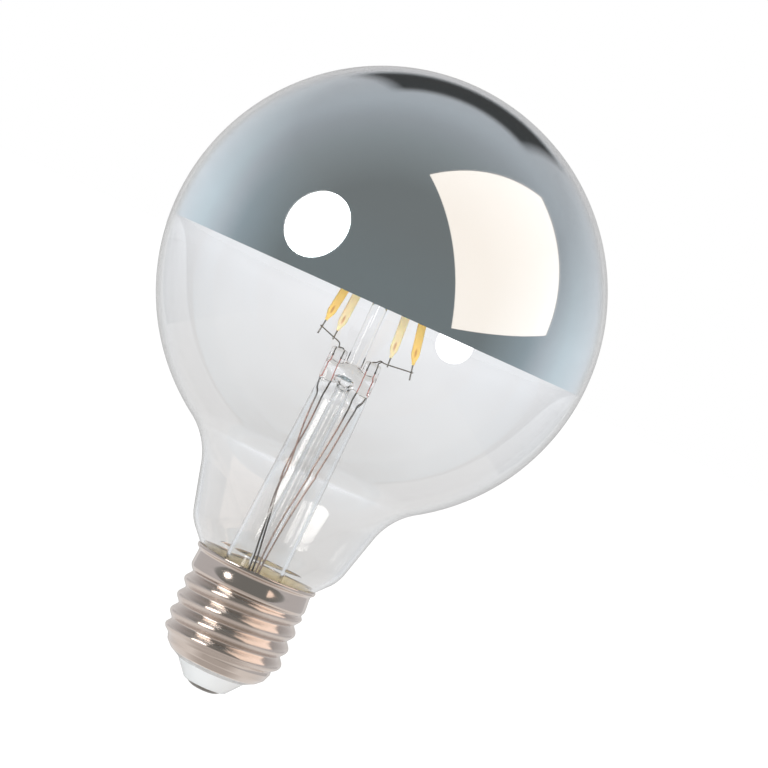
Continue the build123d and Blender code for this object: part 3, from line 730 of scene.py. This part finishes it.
def phosphor(name, chip_side):
    """Phosphor silicone: deep yellow over the chips, pale on its back. A tab shows through at its foot."""
    glow = {"Subsurface_Weight": 0.35, "Subsurface_Radius": (1.0, 0.6, 0.25), "Subsurface_Scale": 0.9 * MM}
    material, shader = new_material(name, Roughness=0.4, **glow)
    tree = shader.id_data
    section = add(tree, "Attribute", attribute_name="section").outputs["Vector"]
    across, through, _ = add(tree, "SeparateXYZ", {"Vector": section}).outputs
    front = 0.8 * chip_side
    lean = add(tree, "MapRange", {"Value": through, "From Min": front, "From Max": -front})
    tint = add(tree, "ValToRGB", {"Fac": lean})
    set_stops(tint, ((0.0, linear("#FFD780")), (1.0, linear("#FBE9BC"))))
    coords = add(tree, "TexCoord").outputs["Object"]
    grains = add(tree, "TexNoise", {"Vector": coords, "Scale": 1 / (0.5 * MM), "Detail": 4.0})
    shade = add(tree, "MapRange", {"Value": grains, "To Min": 0.94, "To Max": 1.04})
    mottle = add(tree, "HueSaturation", {"Color": tint, "Value": shade})
    # The tab is an oval shade with its middle 2.6 mm from the end.
    along = add(tree, "Attribute", attribute_name="along").outputs["Fac"]
    from_tab = add(tree, "Math", {0: along, 1: 2.6 * MM}, "SUBTRACT")
    length = add(tree, "Math", {0: from_tab, 1: 1.0 * MM}, "DIVIDE")
    width = add(tree, "Math", {0: across, 1: 0.28}, "DIVIDE")
    oval = add(tree, "CombineXYZ", {"X": width, "Y": length})
    far = add(tree, "VectorMath", {0: oval}, "LENGTH")
    fade = {"Value": far, "From Min": 0.6, "From Max": 1.2, "To Min": 0.55, "To Max": 0.0}
    mark = add(tree, "MapRange", fade)
    tabbed = {"Factor": mark, "A": mottle, "B": linear("#B5652A")}
    feed(shader, {"Base Color": add(tree, "Mix", tabbed, data_type="RGBA")})
    return material


def tab_bar(start, end, axis):
    """Corners of a flat bar between two points on the stem's own axis, with its broad side to the front."""
    wide = Vector((0, 1, 0)).cross(axis).normalized() * TAB_WIDTH / 2
    thick = axis.cross(wide).normalized() * TAB_THICKNESS / 2
    shift = Vector((STEM_X, 0, 0))
    corners = [-wide - thick, wide - thick, wide + thick, -wide + thick]
    return [(end_point + corner + shift) * MM for end_point in (start, end) for corner in corners]


PHOSPHORS = {-1: phosphor("phosphor_silicone_front", -1), 1: phosphor("phosphor_silicone_back", 1)}
# Stamped tab: bright tinned sheet, so it mostly shows the white round it.
bright_tab, shader = new_material("bright_tinned_tab", Metallic=1.0, Base_Color=linear("#D8D2CA"))
uneven_gloss(shader, patch=0.6, detail=3.0, low=0.12, high=0.4)
# Side of its bar, distance across on it, place across at the top, and front (-1) or back (1).
FILAMENTS = {
    "left_front": (-1, 9.4, -3.6, -1),
    "left_back": (-1, 6.2, -3.0, 1),
    "right_back": (1, 6.6, 3.75, 1),
    "right_front": (1, 11.7, 3.2, -1),
}
for name, (side, reach, top_x, depth) in FILAMENTS.items():
    weld_side = Vector((0, -depth * TAB_OFFSET, 0))
    foot = Vector(bar_point(side, reach)) + weld_side
    head = Vector((top_x, depth * BRIDGE_DEPTH, BRIDGE_Z)) + weld_side
    axis = (head - foot).normalized()
    ends = [foot + axis * TAB_LENGTH, foot + axis * (TAB_LENGTH + FILAMENT_LENGTH)]
    line = bpy.data.meshes.new("axis_" + name)
    line.from_pydata([((p.x + STEM_X) * MM, p.y * MM, p.z * MM) for p in ends], [(0, 1)], [])
    values = {
        "Width": FILAMENT_WIDTH * MM,
        "Thickness": FILAMENT_THICKNESS * MM,
        "Taper": FILAMENT_TAPER * MM,
        "Chip pitch": CHIP_PITCH * MM,
        "Length": FILAMENT_LENGTH * MM,
        "Across": Vector((0, 1, 0)).cross(axis).normalized(),
        "Finish": PHOSPHORS[depth],
    }
    strip = made_by(strip_tree, strip_keys, "filament_moulded_" + name, line, values)
    place("filament_moulded_" + name, strip, PHOSPHORS[depth], "phosphor", "filament_" + name)
    lower = tab_bar(foot - axis * TAB_TAIL[depth], foot + axis * (TAB_LENGTH + TAB_GRIP), axis)
    upper = tab_bar(head - axis * (TAB_LENGTH + TAB_GRIP), head + axis * TAB_HEAD, axis)
    tab_mesh = bpy.data.meshes.new("filament_tabs_stamped_" + name)
    tab_mesh.from_pydata(lower + upper, [], TAB_FACES + [[i + 8 for i in face] for face in TAB_FACES])
    place("filament_tabs_stamped_" + name, tab_mesh, bright_tab, "nickel_wire", "filament_tabs_" + name)

# Cap shell: brass sheet 0.3 mm thick, drawn to a cup and nickel plated.
# The thread is rolled right through the wall, the lip is turned out round the neck and the floor is a cone.
CAP_SEGMENTS = 224
SHEET = 0.3
FLOOR_OUTLINE = ((7.7, 4.6, 0), (9.9, 5.75, 1.4), (11.25, 7.05, 1.2), (11.55, 8.4, 1.0), (11.6, 9.0, 0))
FLOOR_RADIUS = 11.6
FLOOR_BLEND_Z = (9.0, 10.4)
THREAD_PITCH = 3.629
THREAD_ROOT = 12.15
THREAD_DEPTH = 1.06
THREAD_FULLNESS = 0.72
THREAD_CREST_Z = 11.2
THREAD_FOOT_Z = 7.9
THREAD_TOP_Z = 23.3
THREAD_RUN_OUT = 1.4
THREAD_WALL_Z = (9.1, 22.3)
LINES_FOOT_Z = (8.8, 9.8)
LINES_TOP_Z = (23.2, 22.6)
COLLAR_RADIUS = 12.97
COLLAR_WAIST = 0.1
COLLAR_Z = (23.8, 26.9)
COLLAR_SWELL = [(22.6, 12.3), (22.9, 12.62), (23.2, 12.88), (23.5, 13.03)]
COLLAR_TURN_OUT = [(27.15, 12.93), (27.35, 13.1), (27.53, 13.37)]
COLLAR_SPAN_Z = (22.4, 27.5)
LIP_OUTLINE = ((13.38, 27.54, 0), (13.56, 27.8, 0.2), (13.56, 28.4, 0.28), (13.2, 28.4, 0))

THREAD_SIZES = ("Pitch", "Depth", "Crest height", "Foot", "Top", "Run-out")
tree, given, thread_keys = new_shaping("rolled_thread", "Cup", "Shell", THREAD_SIZES)
thread_tree = tree
spot = add(tree, "InputPosition")
x, y, z = add(tree, "SeparateXYZ", {"Vector": spot}).outputs
angle = add(tree, "Math", {0: y, 1: x}, "ARCTAN2")
above = add(tree, "Math", {0: z, 1: given["Crest height"]}, "SUBTRACT")
turns = add(tree, "Math", {0: above, 1: given["Pitch"]}, "DIVIDE")
phase = add(tree, "Math", {0: turns, 1: 2 * pi}, "MULTIPLY")
lead = add(tree, "Math", {0: phase, 1: angle}, "SUBTRACT")
wave = add(tree, "Math", {0: lead}, "COSINE")
wave = add(tree, "Math", {0: wave, 1: 1.0}, "ADD")
wave = add(tree, "Math", {0: wave, 1: 0.5}, "MULTIPLY")
wave = add(tree, "Math", {0: wave, 1: THREAD_FULLNESS}, "POWER")
# It runs out smoothly at both ends.
foot_end = add(tree, "Math", {0: given["Foot"], 1: given["Run-out"]}, "ADD")
top_end = add(tree, "Math", {0: given["Top"], 1: given["Run-out"]}, "SUBTRACT")
run_outs = []
for label, end in (("Foot", foot_end), ("Top", top_end)):
    ends = {"Value": z, "From Min": given[label], "From Max": end}
    run_outs.append(add(tree, "MapRange", ends, interpolation_type="SMOOTHSTEP"))
both = add(tree, "Math", {0: run_outs[0], 1: run_outs[1]}, "MULTIPLY")
rolled = add(tree, "Math", {0: wave, 1: both}, "MULTIPLY")
push = add(tree, "Math", {0: rolled, 1: given["Depth"]}, "MULTIPLY")
level = add(tree, "VectorMath", {0: spot, 1: (1.0, 1.0, 0.0)}, "MULTIPLY")
radial = add(tree, "VectorMath", {0: level}, "NORMALIZE")
shift = add(tree, "VectorMath", {0: radial, "Scale": push}, "SCALE")
formed = add(tree, "SetPosition", {"Geometry": given["Cup"], "Offset": shift})
end_shaping(tree, given, "Shell", formed)

# Nickel plate on brass: warm and bright, with fine marks round the cap.
nickel_plate, shader = new_material(
    "nickel_plated_brass", Metallic=1.0, Base_Color=linear("#DACDC4"), Anisotropic_Rotation=0.25
)
tree = shader.id_data
coords = add(tree, "TexCoord").outputs["Object"]
stretched = add(tree, "Mapping", {"Vector": coords, "Scale": (1.0, 1.0, 12.0)})
marks = add(tree, "TexNoise", {"Vector": stretched, "Scale": 1 / (4 * MM), "Detail": 4.0})
dull = add(tree, "MapRange", {"Value": marks, "To Min": 0.05, "To Max": 0.14})
rolled_round = add(tree, "Mapping", {"Vector": coords, "Scale": (1.0, 1.0, 40.0)})
lines = add(tree, "TexNoise", {"Vector": rolled_round, "Scale": 1 / (6 * MM), "Detail": 2.0})
height = add(tree, "SeparateXYZ", {"Vector": coords}).outputs["Z"]
above_floor, under_collar = [
    add(tree, "MapRange", {"Value": height, "From Min": start * MM, "From Max": end * MM})
    for start, end in (LINES_FOOT_Z, LINES_TOP_Z)
]
on_thread = add(tree, "Math", {0: above_floor, 1: under_collar}, "MULTIPLY")
# The rolling lines run round the thread and spread what it mirrors up and down.
rough = add(tree, "Math", {0: on_thread, 1: 0.11, 2: dull}, "MULTIPLY_ADD")
spread = add(tree, "Math", {0: on_thread, 1: 0.9}, "MULTIPLY")
round_the_cap = add(tree, "Tangent", direction_type="RADIAL", axis="Z")
strength = add(tree, "Math", {0: on_thread, 1: 0.4}, "MULTIPLY")
bump = add(tree, "Bump", {"Height": lines, "Strength": strength, "Distance": 0.03 * MM})
feed(shader, {"Roughness": rough, "Anisotropic": spread, "Tangent": round_the_cap, "Normal": bump})

wall = rounded(*FLOOR_OUTLINE)
thread_heights = np.linspace(*THREAD_WALL_Z, 116)
widening = THREAD_ROOT - FLOOR_RADIUS
wall += [(FLOOR_RADIUS + widening * ease(*FLOOR_BLEND_Z, z), z) for z in thread_heights]
# The collar swells over the thread, draws in below the lip and turns out into it, as (height, radius).
waist = COLLAR_Z[1] - COLLAR_Z[0]
collar = [(THREAD_WALL_Z[1], THREAD_ROOT)] + COLLAR_SWELL
for z in np.linspace(*COLLAR_Z, 15):
    collar.append((z, COLLAR_RADIUS + COLLAR_WAIST * cos(pi * (z - COLLAR_Z[0]) / waist)))
collar += COLLAR_TURN_OUT
collar_heights = np.linspace(*COLLAR_SPAN_Z, 48)
wall += list(zip(np.interp(collar_heights, *zip(*collar)), collar_heights))
wall += rounded(*LIP_OUTLINE, steps=8)
shell_mesh = made_by(
    thread_tree,
    thread_keys,
    "cap_shell_rolled",
    lathe("cap_cup", wall, CAP_SEGMENTS),
    {
        "Pitch": THREAD_PITCH * MM,
        "Depth": THREAD_DEPTH * MM,
        "Crest height": THREAD_CREST_Z * MM,
        "Foot": THREAD_FOOT_Z * MM,
        "Top": THREAD_TOP_Z * MM,
        "Run-out": THREAD_RUN_OUT * MM,
        "Finish": nickel_plate,
    },
)
shell = place("cap_shell_rolled", shell_mesh, nickel_plate, "nickel_plated_brass", "cap_shell")
thickness = shell.modifiers.new("sheet", "SOLIDIFY")
thickness.thickness = SHEET * MM
thickness.offset = -1.0

# Cap insulator: a white cone of urea plastic, moulded into the hole in the shell's floor.
# It holds the contact and parts it from the shell.
INSULATOR_OUTLINE = (
    (1.4, 1.0, 0),
    (4.7, 1.0, 0.5),
    (7.66, 4.58, 0.2),
    (7.66, 5.0, 0),
    (9.2, 6.0, 0),
    (1.4, 6.1, 0),
)
insulator_mesh = lathe("cap_insulator_moulded", rounded(*INSULATOR_OUTLINE, steps=6), 96, closed=True)
# Urea moulding, white: smooth with a light gloss.
insulator_white, shader = new_material("white_urea_moulding", Base_Color=linear("#E6EDF2"), Roughness=0.22)
wavy_surface(shader, length=3, detail=2.0, strength=0.1, depth=0.1)
place("cap_insulator_moulded", insulator_mesh, insulator_white, "insulator_white", "cap_insulator")

# Centre contact: a tinned brass rivet with a low domed head.
# Its shank passes through the insulator and is headed over inside the cap.
DOME_FLAT = 1.5
DOME_RADIUS = 3.88
DOME_END = -0.84
RIVET_OUTLINE = [(4.1, 1.0), (1.38, 1.0), (1.38, 6.1), (2.1, 6.12), (1.4, 6.6), (0.0, 6.6)]
dome = arc((DOME_FLAT, DOME_RADIUS), DOME_RADIUS, -pi / 2, DOME_END, 12)
contact_outline = [(0.0, 0.0), (DOME_FLAT, 0.0)] + dome[1:] + RIVET_OUTLINE
contact_mesh = lathe("centre_contact_headed", contact_outline, 64)
# Tinned brass, dulled: a dark grey metal with matt scuffs.
contact_metal, shader = new_material("dull_tinned_brass", Metallic=1.0, Base_Color=linear("#85807B"))
uneven_gloss(shader, patch=0.9, detail=5.0, low=0.2, high=0.55)
place("centre_contact_headed", contact_mesh, contact_metal, "contact_metal", "centre_contact")

# Basing cement: yellowish resin putty that fills the gap between the neck and the collar.
# It is baked hard, and its uneven upper edge shows at the rim.
CEMENT_EDGE_Z = 27.3
CEMENT_OUTLINE = [(11.5, 23.8), (12.6, 23.8), (12.62, 25.5), (12.66, 27.1), (13.14, 27.6), (13.24, 28.0)]
CEMENT_OUTLINE += [(13.22, 28.24), (12.95, 28.0), (12.3, 27.28), (11.65, 26.45), (11.5, 25.6)]
cement_mesh = lathe("basing_cement_baked", CEMENT_OUTLINE, 160, closed=True)
for vertex in cement_mesh.vertices:
    turn = atan2(vertex.co.y, vertex.co.x)
    uneven = 0.5 + 0.25 * sin(3 * turn + 1.0) + 0.15 * sin(7 * turn) + 0.1 * sin(16 * turn + 2.0)
    vertex.co.z -= max(0, vertex.co.z - CEMENT_EDGE_Z * MM) * 0.5 * uneven
# Resin cement: matt, in lumps of a darker and a paler yellow.
cement, shader = new_material("basing_cement", Roughness=0.7)
patchy_tint(shader, patch=1.2, detail=4.0, dark="#B6A378", light="#E0D3AE")
place("basing_cement_baked", cement_mesh, cement, "cement", "basing_cement")

# Driver: a round fibreglass board in the cap with its rectifier, chip, capacitor and fuse resistor.
# It is wired to the leads above, to the shell and to the contact, and shows a little through the neck.
DRIVER = {
    "solder_masked_fibreglass": ("#1F5A34", 0.45, ["driver_board"]),
    "black_epoxy_package": ("#1B1B1C", 0.6, ["bridge_rectifier", "driver_chip"]),
    "shrunk_pvc_sleeve": ("#202736", 0.3, ["smoothing_capacitor"]),
    "resistor_lacquer": ("#5C8F99", 0.35, ["fuse_resistor"]),
    "pvc_insulation": ("#B3322C", 0.4, ["board_lead", "contact_lead", "shell_lead"]),
}
# Each is an even colour, glossy or half dull, with a fine grain in its gloss.
for name, (colour, roughness, nodes) in DRIVER.items():
    material, shader = new_material(name, Base_Color=linear(colour))
    uneven_gloss(shader, patch=0.7, detail=3.0, low=roughness - 0.1, high=roughness + 0.15)
    for node in nodes:
        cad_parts[node].data.materials.clear()
        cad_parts[node].data.materials.append(material)

# Studio: a white table, and pale walls that darken towards the camera. A round lamp stands on the left,
# a soft box on the right, a small lamp behind, and a fill beside the camera lights what faces it.
# A low pale card stands on each side of the cap.
FLOOR_CORNERS = [(-6, -0.18, 0), (6, -0.18, 0), (6, 20, 0), (-6, 20, 0)]
FLOOR_Z = -0.2
FLOOR_GLOW = 0.85
FLOOR_WHITE = (1.2, 1.2, 1.2, 1)
# Seen through glass, the table's glow is painted grey near the lamp as shade, and pale far off.
FLOOR_PAINTED_SHADE = (0.71, 0.705, 0.695, 1)
FLOOR_FAR = (1.03, 1.04, 1.07, 1)


def studio_sheet(name, corners, material):
    """Flat sheet of the studio, which is no part of the lamp."""
    mesh = bpy.data.meshes.new(name)
    mesh.from_pydata(corners, [], [(0, 1, 2, 3)])
    mesh.materials.append(material)
    sheet = bpy.data.objects.new(name, mesh)
    scene.collection.objects.link(sheet)
    return sheet


# Matt white paint: it takes soft shadows, and glows where the camera sees it, also through glass.
floor_paint, shader = new_material("matt_white_floor", Base_Color=linear("#F2EDE8"), Roughness=0.9)
tree = shader.id_data
seen = add(tree, "LightPath").outputs
direct = add(tree, "Math", {0: seen["Is Camera Ray"], 1: seen["Is Transmission Ray"]}, "MAXIMUM")
share = add(tree, "Math", {0: direct, 1: FLOOR_GLOW}, "MULTIPLY")
# Through glass the table's glow is painted greyer, and more so near the lamp: painted shade round the lamp.
coords = add(tree, "TexCoord").outputs["Object"]
away = add(tree, "VectorMath", {0: coords}, "LENGTH")
decades = add(tree, "Math", {0: away, 1: 10.0}, "LOGARITHM")
paler = add(tree, "MapRange", {"Value": decades, "From Min": -0.6, "From Max": 1.0})
through = add(tree, "Mix", {"Factor": paler, "A": FLOOR_PAINTED_SHADE, "B": FLOOR_FAR}, data_type="RGBA")
shown = {"Factor": seen["Is Transmission Ray"], "A": FLOOR_WHITE, "B": through}
glow = add(tree, "Emission", {"Color": add(tree, "Mix", shown, data_type="RGBA")})
mixed = add(tree, "MixShader", {0: share, 1: shader, 2: glow})
# A mirrored ray passes through it, so that the mirror shows the room down to its edge.
mirrored = add(tree, "Math", {0: seen["Glossy Depth"], 1: 0.5}, "GREATER_THAN")
clear = add(tree, "BsdfTransparent")
mixed = add(tree, "MixShader", {0: mirrored, 1: mixed, 2: clear})
feed(tree.nodes["Material Output"], {"Surface": mixed})
floor = studio_sheet("studio_floor", FLOOR_CORNERS, floor_paint)
floor.location.z = FLOOR_Z * MM

# The walls change from the camera's side (0) to the far side (1), low down and high up.
LOW_TONES = (
    (0.0, (0.208, 0.22, 0.219, 1)),
    (0.22, (0.208, 0.22, 0.219, 1)),
    (0.46, (0.355, 0.39, 0.41, 1)),
    (0.59, (0.567, 0.58, 0.61, 1)),
    (0.71, (0.7, 0.749, 0.78, 1)),
    (0.9, (0.822, 0.851, 0.89, 1)),
    (0.94, (0.77, 0.78, 0.79, 1)),
    (0.98, (0.66, 0.66, 0.66, 1)),
)
HIGH_TONES = (
    (0.0, (0.208, 0.21, 0.205, 1)),
    (0.22, (0.208, 0.21, 0.205, 1)),
    (0.46, (0.311, 0.318, 0.32, 1)),
    (0.59, (0.378, 0.379, 0.39, 1)),
    (0.71, (0.467, 0.472, 0.49, 1)),
    (0.9, (0.522, 0.523, 0.54, 1)),
)
TABLE_PALE = (0.86, 0.855, 0.85, 1)
TABLE_DULL = (0.55, 0.53, 0.51, 1)
GAP_TONE = (0.06, 0.06, 0.06, 1)
GLASS_PALE = (0.945, 0.955, 0.98, 1)
GLASS_HIGH = (0.5, 0.5, 0.5, 1)
GLASS_BENT = (0.25, 0.245, 0.24, 1)
WHITE = (1, 1, 1, 1)

world = bpy.data.worlds.new("studio")
scene.world = world
world.use_nodes = True
tree = world.node_tree
coords = add(tree, "TexCoord").outputs["Generated"]
x, y, z = add(tree, "SeparateXYZ", {"Vector": coords}).outputs
aside = add(tree, "Math", {0: x}, "ABSOLUTE")
# Each place in the room fades in between two values of a direction.
PLACES = {
    "far": (y, -1.0, 1.0),
    "high wall": (z, 0.1, 0.6),
    "under the lamp": (z, -0.78, -0.95),
    "facing the camera": (y, -0.4, -0.75),
    "low in front": (z, -0.12, -0.26),
    "low at the sides": (z, -0.25, -0.5),
    "gap's foot": (z, 0.44, 0.50),
    "gap's top": (z, 0.80, 0.74),
    "gap's sides": (aside, 0.32, 0.24),
    "straight on": (y, 0.0, 0.45),
    "high through glass": (z, 0.1, 0.65),
}
at = {}
for name, (way, start, end) in PLACES.items():
    at[name] = add(tree, "MapRange", {"Value": way, "From Min": start, "From Max": end})
low_walls = add(tree, "ValToRGB", {"Fac": at["far"]})
set_stops(low_walls, LOW_TONES)
high_walls = add(tree, "ValToRGB", {"Fac": at["far"]})
set_stops(high_walls, HIGH_TONES)
walls = add(tree, "Mix", {"Factor": at["high wall"], "A": low_walls, "B": high_walls}, data_type="RGBA")
# Below the mirror's reach the table is pale, less so in front of the lamp and right under it.
facing = at["facing the camera"]
duller = add(tree, "Math", {0: at["under the lamp"], 1: facing}, "MAXIMUM")
table = add(tree, "Mix", {"Factor": duller, "A": TABLE_PALE, "B": TABLE_DULL}, data_type="RGBA")
low_front = add(tree, "Math", {0: at["low in front"], 1: facing}, "MULTIPLY")
lower = add(tree, "Math", {0: low_front, 1: at["low at the sides"]}, "MAXIMUM")
shaded = add(tree, "Mix", {"Factor": lower, "A": walls, "B": table}, data_type="RGBA")
# There is a dark gap above the backdrop.
gap = at["gap's foot"]
behind = add(tree, "Math", {0: y, 1: 0.0}, "GREATER_THAN")
for limit in (at["gap's top"], at["gap's sides"], behind):
    gap = add(tree, "Math", {0: gap, 1: limit}, "MULTIPLY")
room = add(tree, "Mix", {"Factor": gap, "A": shaded, "B": GAP_TONE}, data_type="RGBA")
# What is seen straight through the glass is white, and greyer high up.
# A ray that the glass bends far sees a dark room.
seen = add(tree, "LightPath").outputs
unmirrored = add(tree, "Math", {0: seen["Glossy Depth"], 1: 0.5}, "LESS_THAN")
through = add(tree, "Math", {0: seen["Is Transmission Ray"], 1: unmirrored}, "MULTIPLY")
high = at["high through glass"]
pale = add(tree, "Mix", {"Factor": high, "A": GLASS_PALE, "B": GLASS_HIGH}, data_type="RGBA")
pale = add(tree, "Mix", {"Factor": at["straight on"], "A": GLASS_BENT, "B": pale}, data_type="RGBA")
room = add(tree, "Mix", {"Factor": through, "A": room, "B": pale}, data_type="RGBA")
final = {"Factor": seen["Is Camera Ray"], "A": room, "B": WHITE}
feed(tree.nodes["Background"], {"Color": add(tree, "Mix", final, data_type="RGBA")})


def studio_lamp(name, shape, centre, back, level, size, radiance, colour):
    """Area lamp one metre or so from the globe, with its back and its width along given directions."""
    light = bpy.data.lights.new(name, "AREA")
    light.shape = shape
    light.size, light.size_y = size
    area = size[0] * size[1] * (pi / 4 if shape == "ELLIPSE" else 1)
    light.energy = radiance * pi * area
    light.color = colour
    lamp = bpy.data.objects.new(name, light)
    scene.collection.objects.link(lamp)
    z_axis = Vector(back).normalized()
    y_axis = z_axis.cross(Vector(level)).normalized()
    turn = Matrix((y_axis.cross(z_axis), y_axis, z_axis)).transposed().to_4x4()
    lamp.matrix_world = Matrix.Translation(Vector(centre) + Vector((0, 0, GLOBE_Z * MM))) @ turn
    lamp.visible_camera = False
    return lamp


round_way = (-0.681, -0.678, 0.276)
round_size = (0.574, 0.574)
studio_lamp("round_lamp", "ELLIPSE", round_way, round_way, (1, -1, 0), round_size, 6.0, (1.0, 0.97, 0.94))
box_way = (0.766, -0.166, 0.621)
box_turn = {"back": (0.483, -0.672, 0.561), "level": (0.692, 0.686, 0.226)}
studio_lamp(
    "soft_box", "RECTANGLE", box_way, size=(1.34, 1.27), radiance=1.078, colour=(1.0, 0.81, 0.69), **box_turn
)
fill_way = (0.1, -0.75, -0.05)
fill = studio_lamp("front_fill", "RECTANGLE", fill_way, fill_way, (1, 0, 0), (0.5, 0.25), 11.2, (1, 1, 1))
fill.visible_glossy = False
fill.visible_transmission = False
back_way = (0.0578, 1.15, -0.0065)
back_size = (0.0256, 0.0256)
studio_lamp("back_lamp", "ELLIPSE", back_way, (0.045, 1.0, 0.0), (1, 0, 0), back_size, 1.6, (1, 1, 1))

# The cards' tops slope down towards the camera and fade out. They are too low for the mirror to show.
CARD_X = {"left": -0.3, "right": 0.3}
CARD_Y = (-0.3, 0.41)
CARD_Z = (-0.1, 0.056)
CARD_SLOPE = {"From Min": -0.28, "From Max": -0.07, "To Min": -0.016, "To Max": 0.048}
CARD_FADE = 0.008
# Pale card: an even cool light, seen only in what is polished.
card_paint, shader = new_material(
    "pale_card",
    Base_Color=linear("#101010"),
    Roughness=0.9,
    Emission_Color=(0.92, 0.95, 1.0, 1),
    Emission_Strength=0.62,
)
tree = shader.id_data
coords = add(tree, "TexCoord").outputs["Object"]
_, y, z = add(tree, "SeparateXYZ", {"Vector": coords}).outputs
top = add(tree, "MapRange", {"Value": y, **CARD_SLOPE})
under_top = add(tree, "Math", {0: top, 1: z}, "SUBTRACT")
cover = {"Value": under_top, "From Min": -CARD_FADE, "From Max": CARD_FADE}
feed(shader, {"Alpha": add(tree, "MapRange", cover)})
for side, x in CARD_X.items():
    corners = [(x, CARD_Y[i], CARD_Z[j]) for i, j in ((0, 0), (1, 0), (1, 1), (0, 1))]
    card = studio_sheet(f"{side}_card", corners, card_paint)
    card.visible_camera = card.visible_diffuse = card.visible_transmission = card.visible_shadow = False

# Camera: level with the mirror's edge, with a long lens.
# It is turned about its own axis so that the lamp leans as it does in the photograph.
LENS = 144.6
SENSOR = 36.0
DISTANCE = 650
LEAN = radians(24.37)
eye = Vector((0, -DISTANCE, MIRROR_EDGE_Z)) * MM
aim = Vector((8.4, 0, 74.6)) * MM
camera_data = bpy.data.cameras.new("camera")
camera_data.sensor_width = SENSOR
camera_data.lens = LENS
camera_data.clip_start = 0.01
camera = bpy.data.objects.new("camera", camera_data)
scene.collection.objects.link(camera)
look = (aim - eye).to_track_quat("-Z", "Y").to_matrix().to_4x4()
camera.matrix_world = Matrix.Translation(eye) @ look @ Matrix.Rotation(LEAN, 4, "Z")
scene.camera = camera

# Light passes many walls of glass on its way through the stem.
BOUNCES = 32
scene.cycles.max_bounces = BOUNCES
scene.cycles.transmission_bounces = BOUNCES
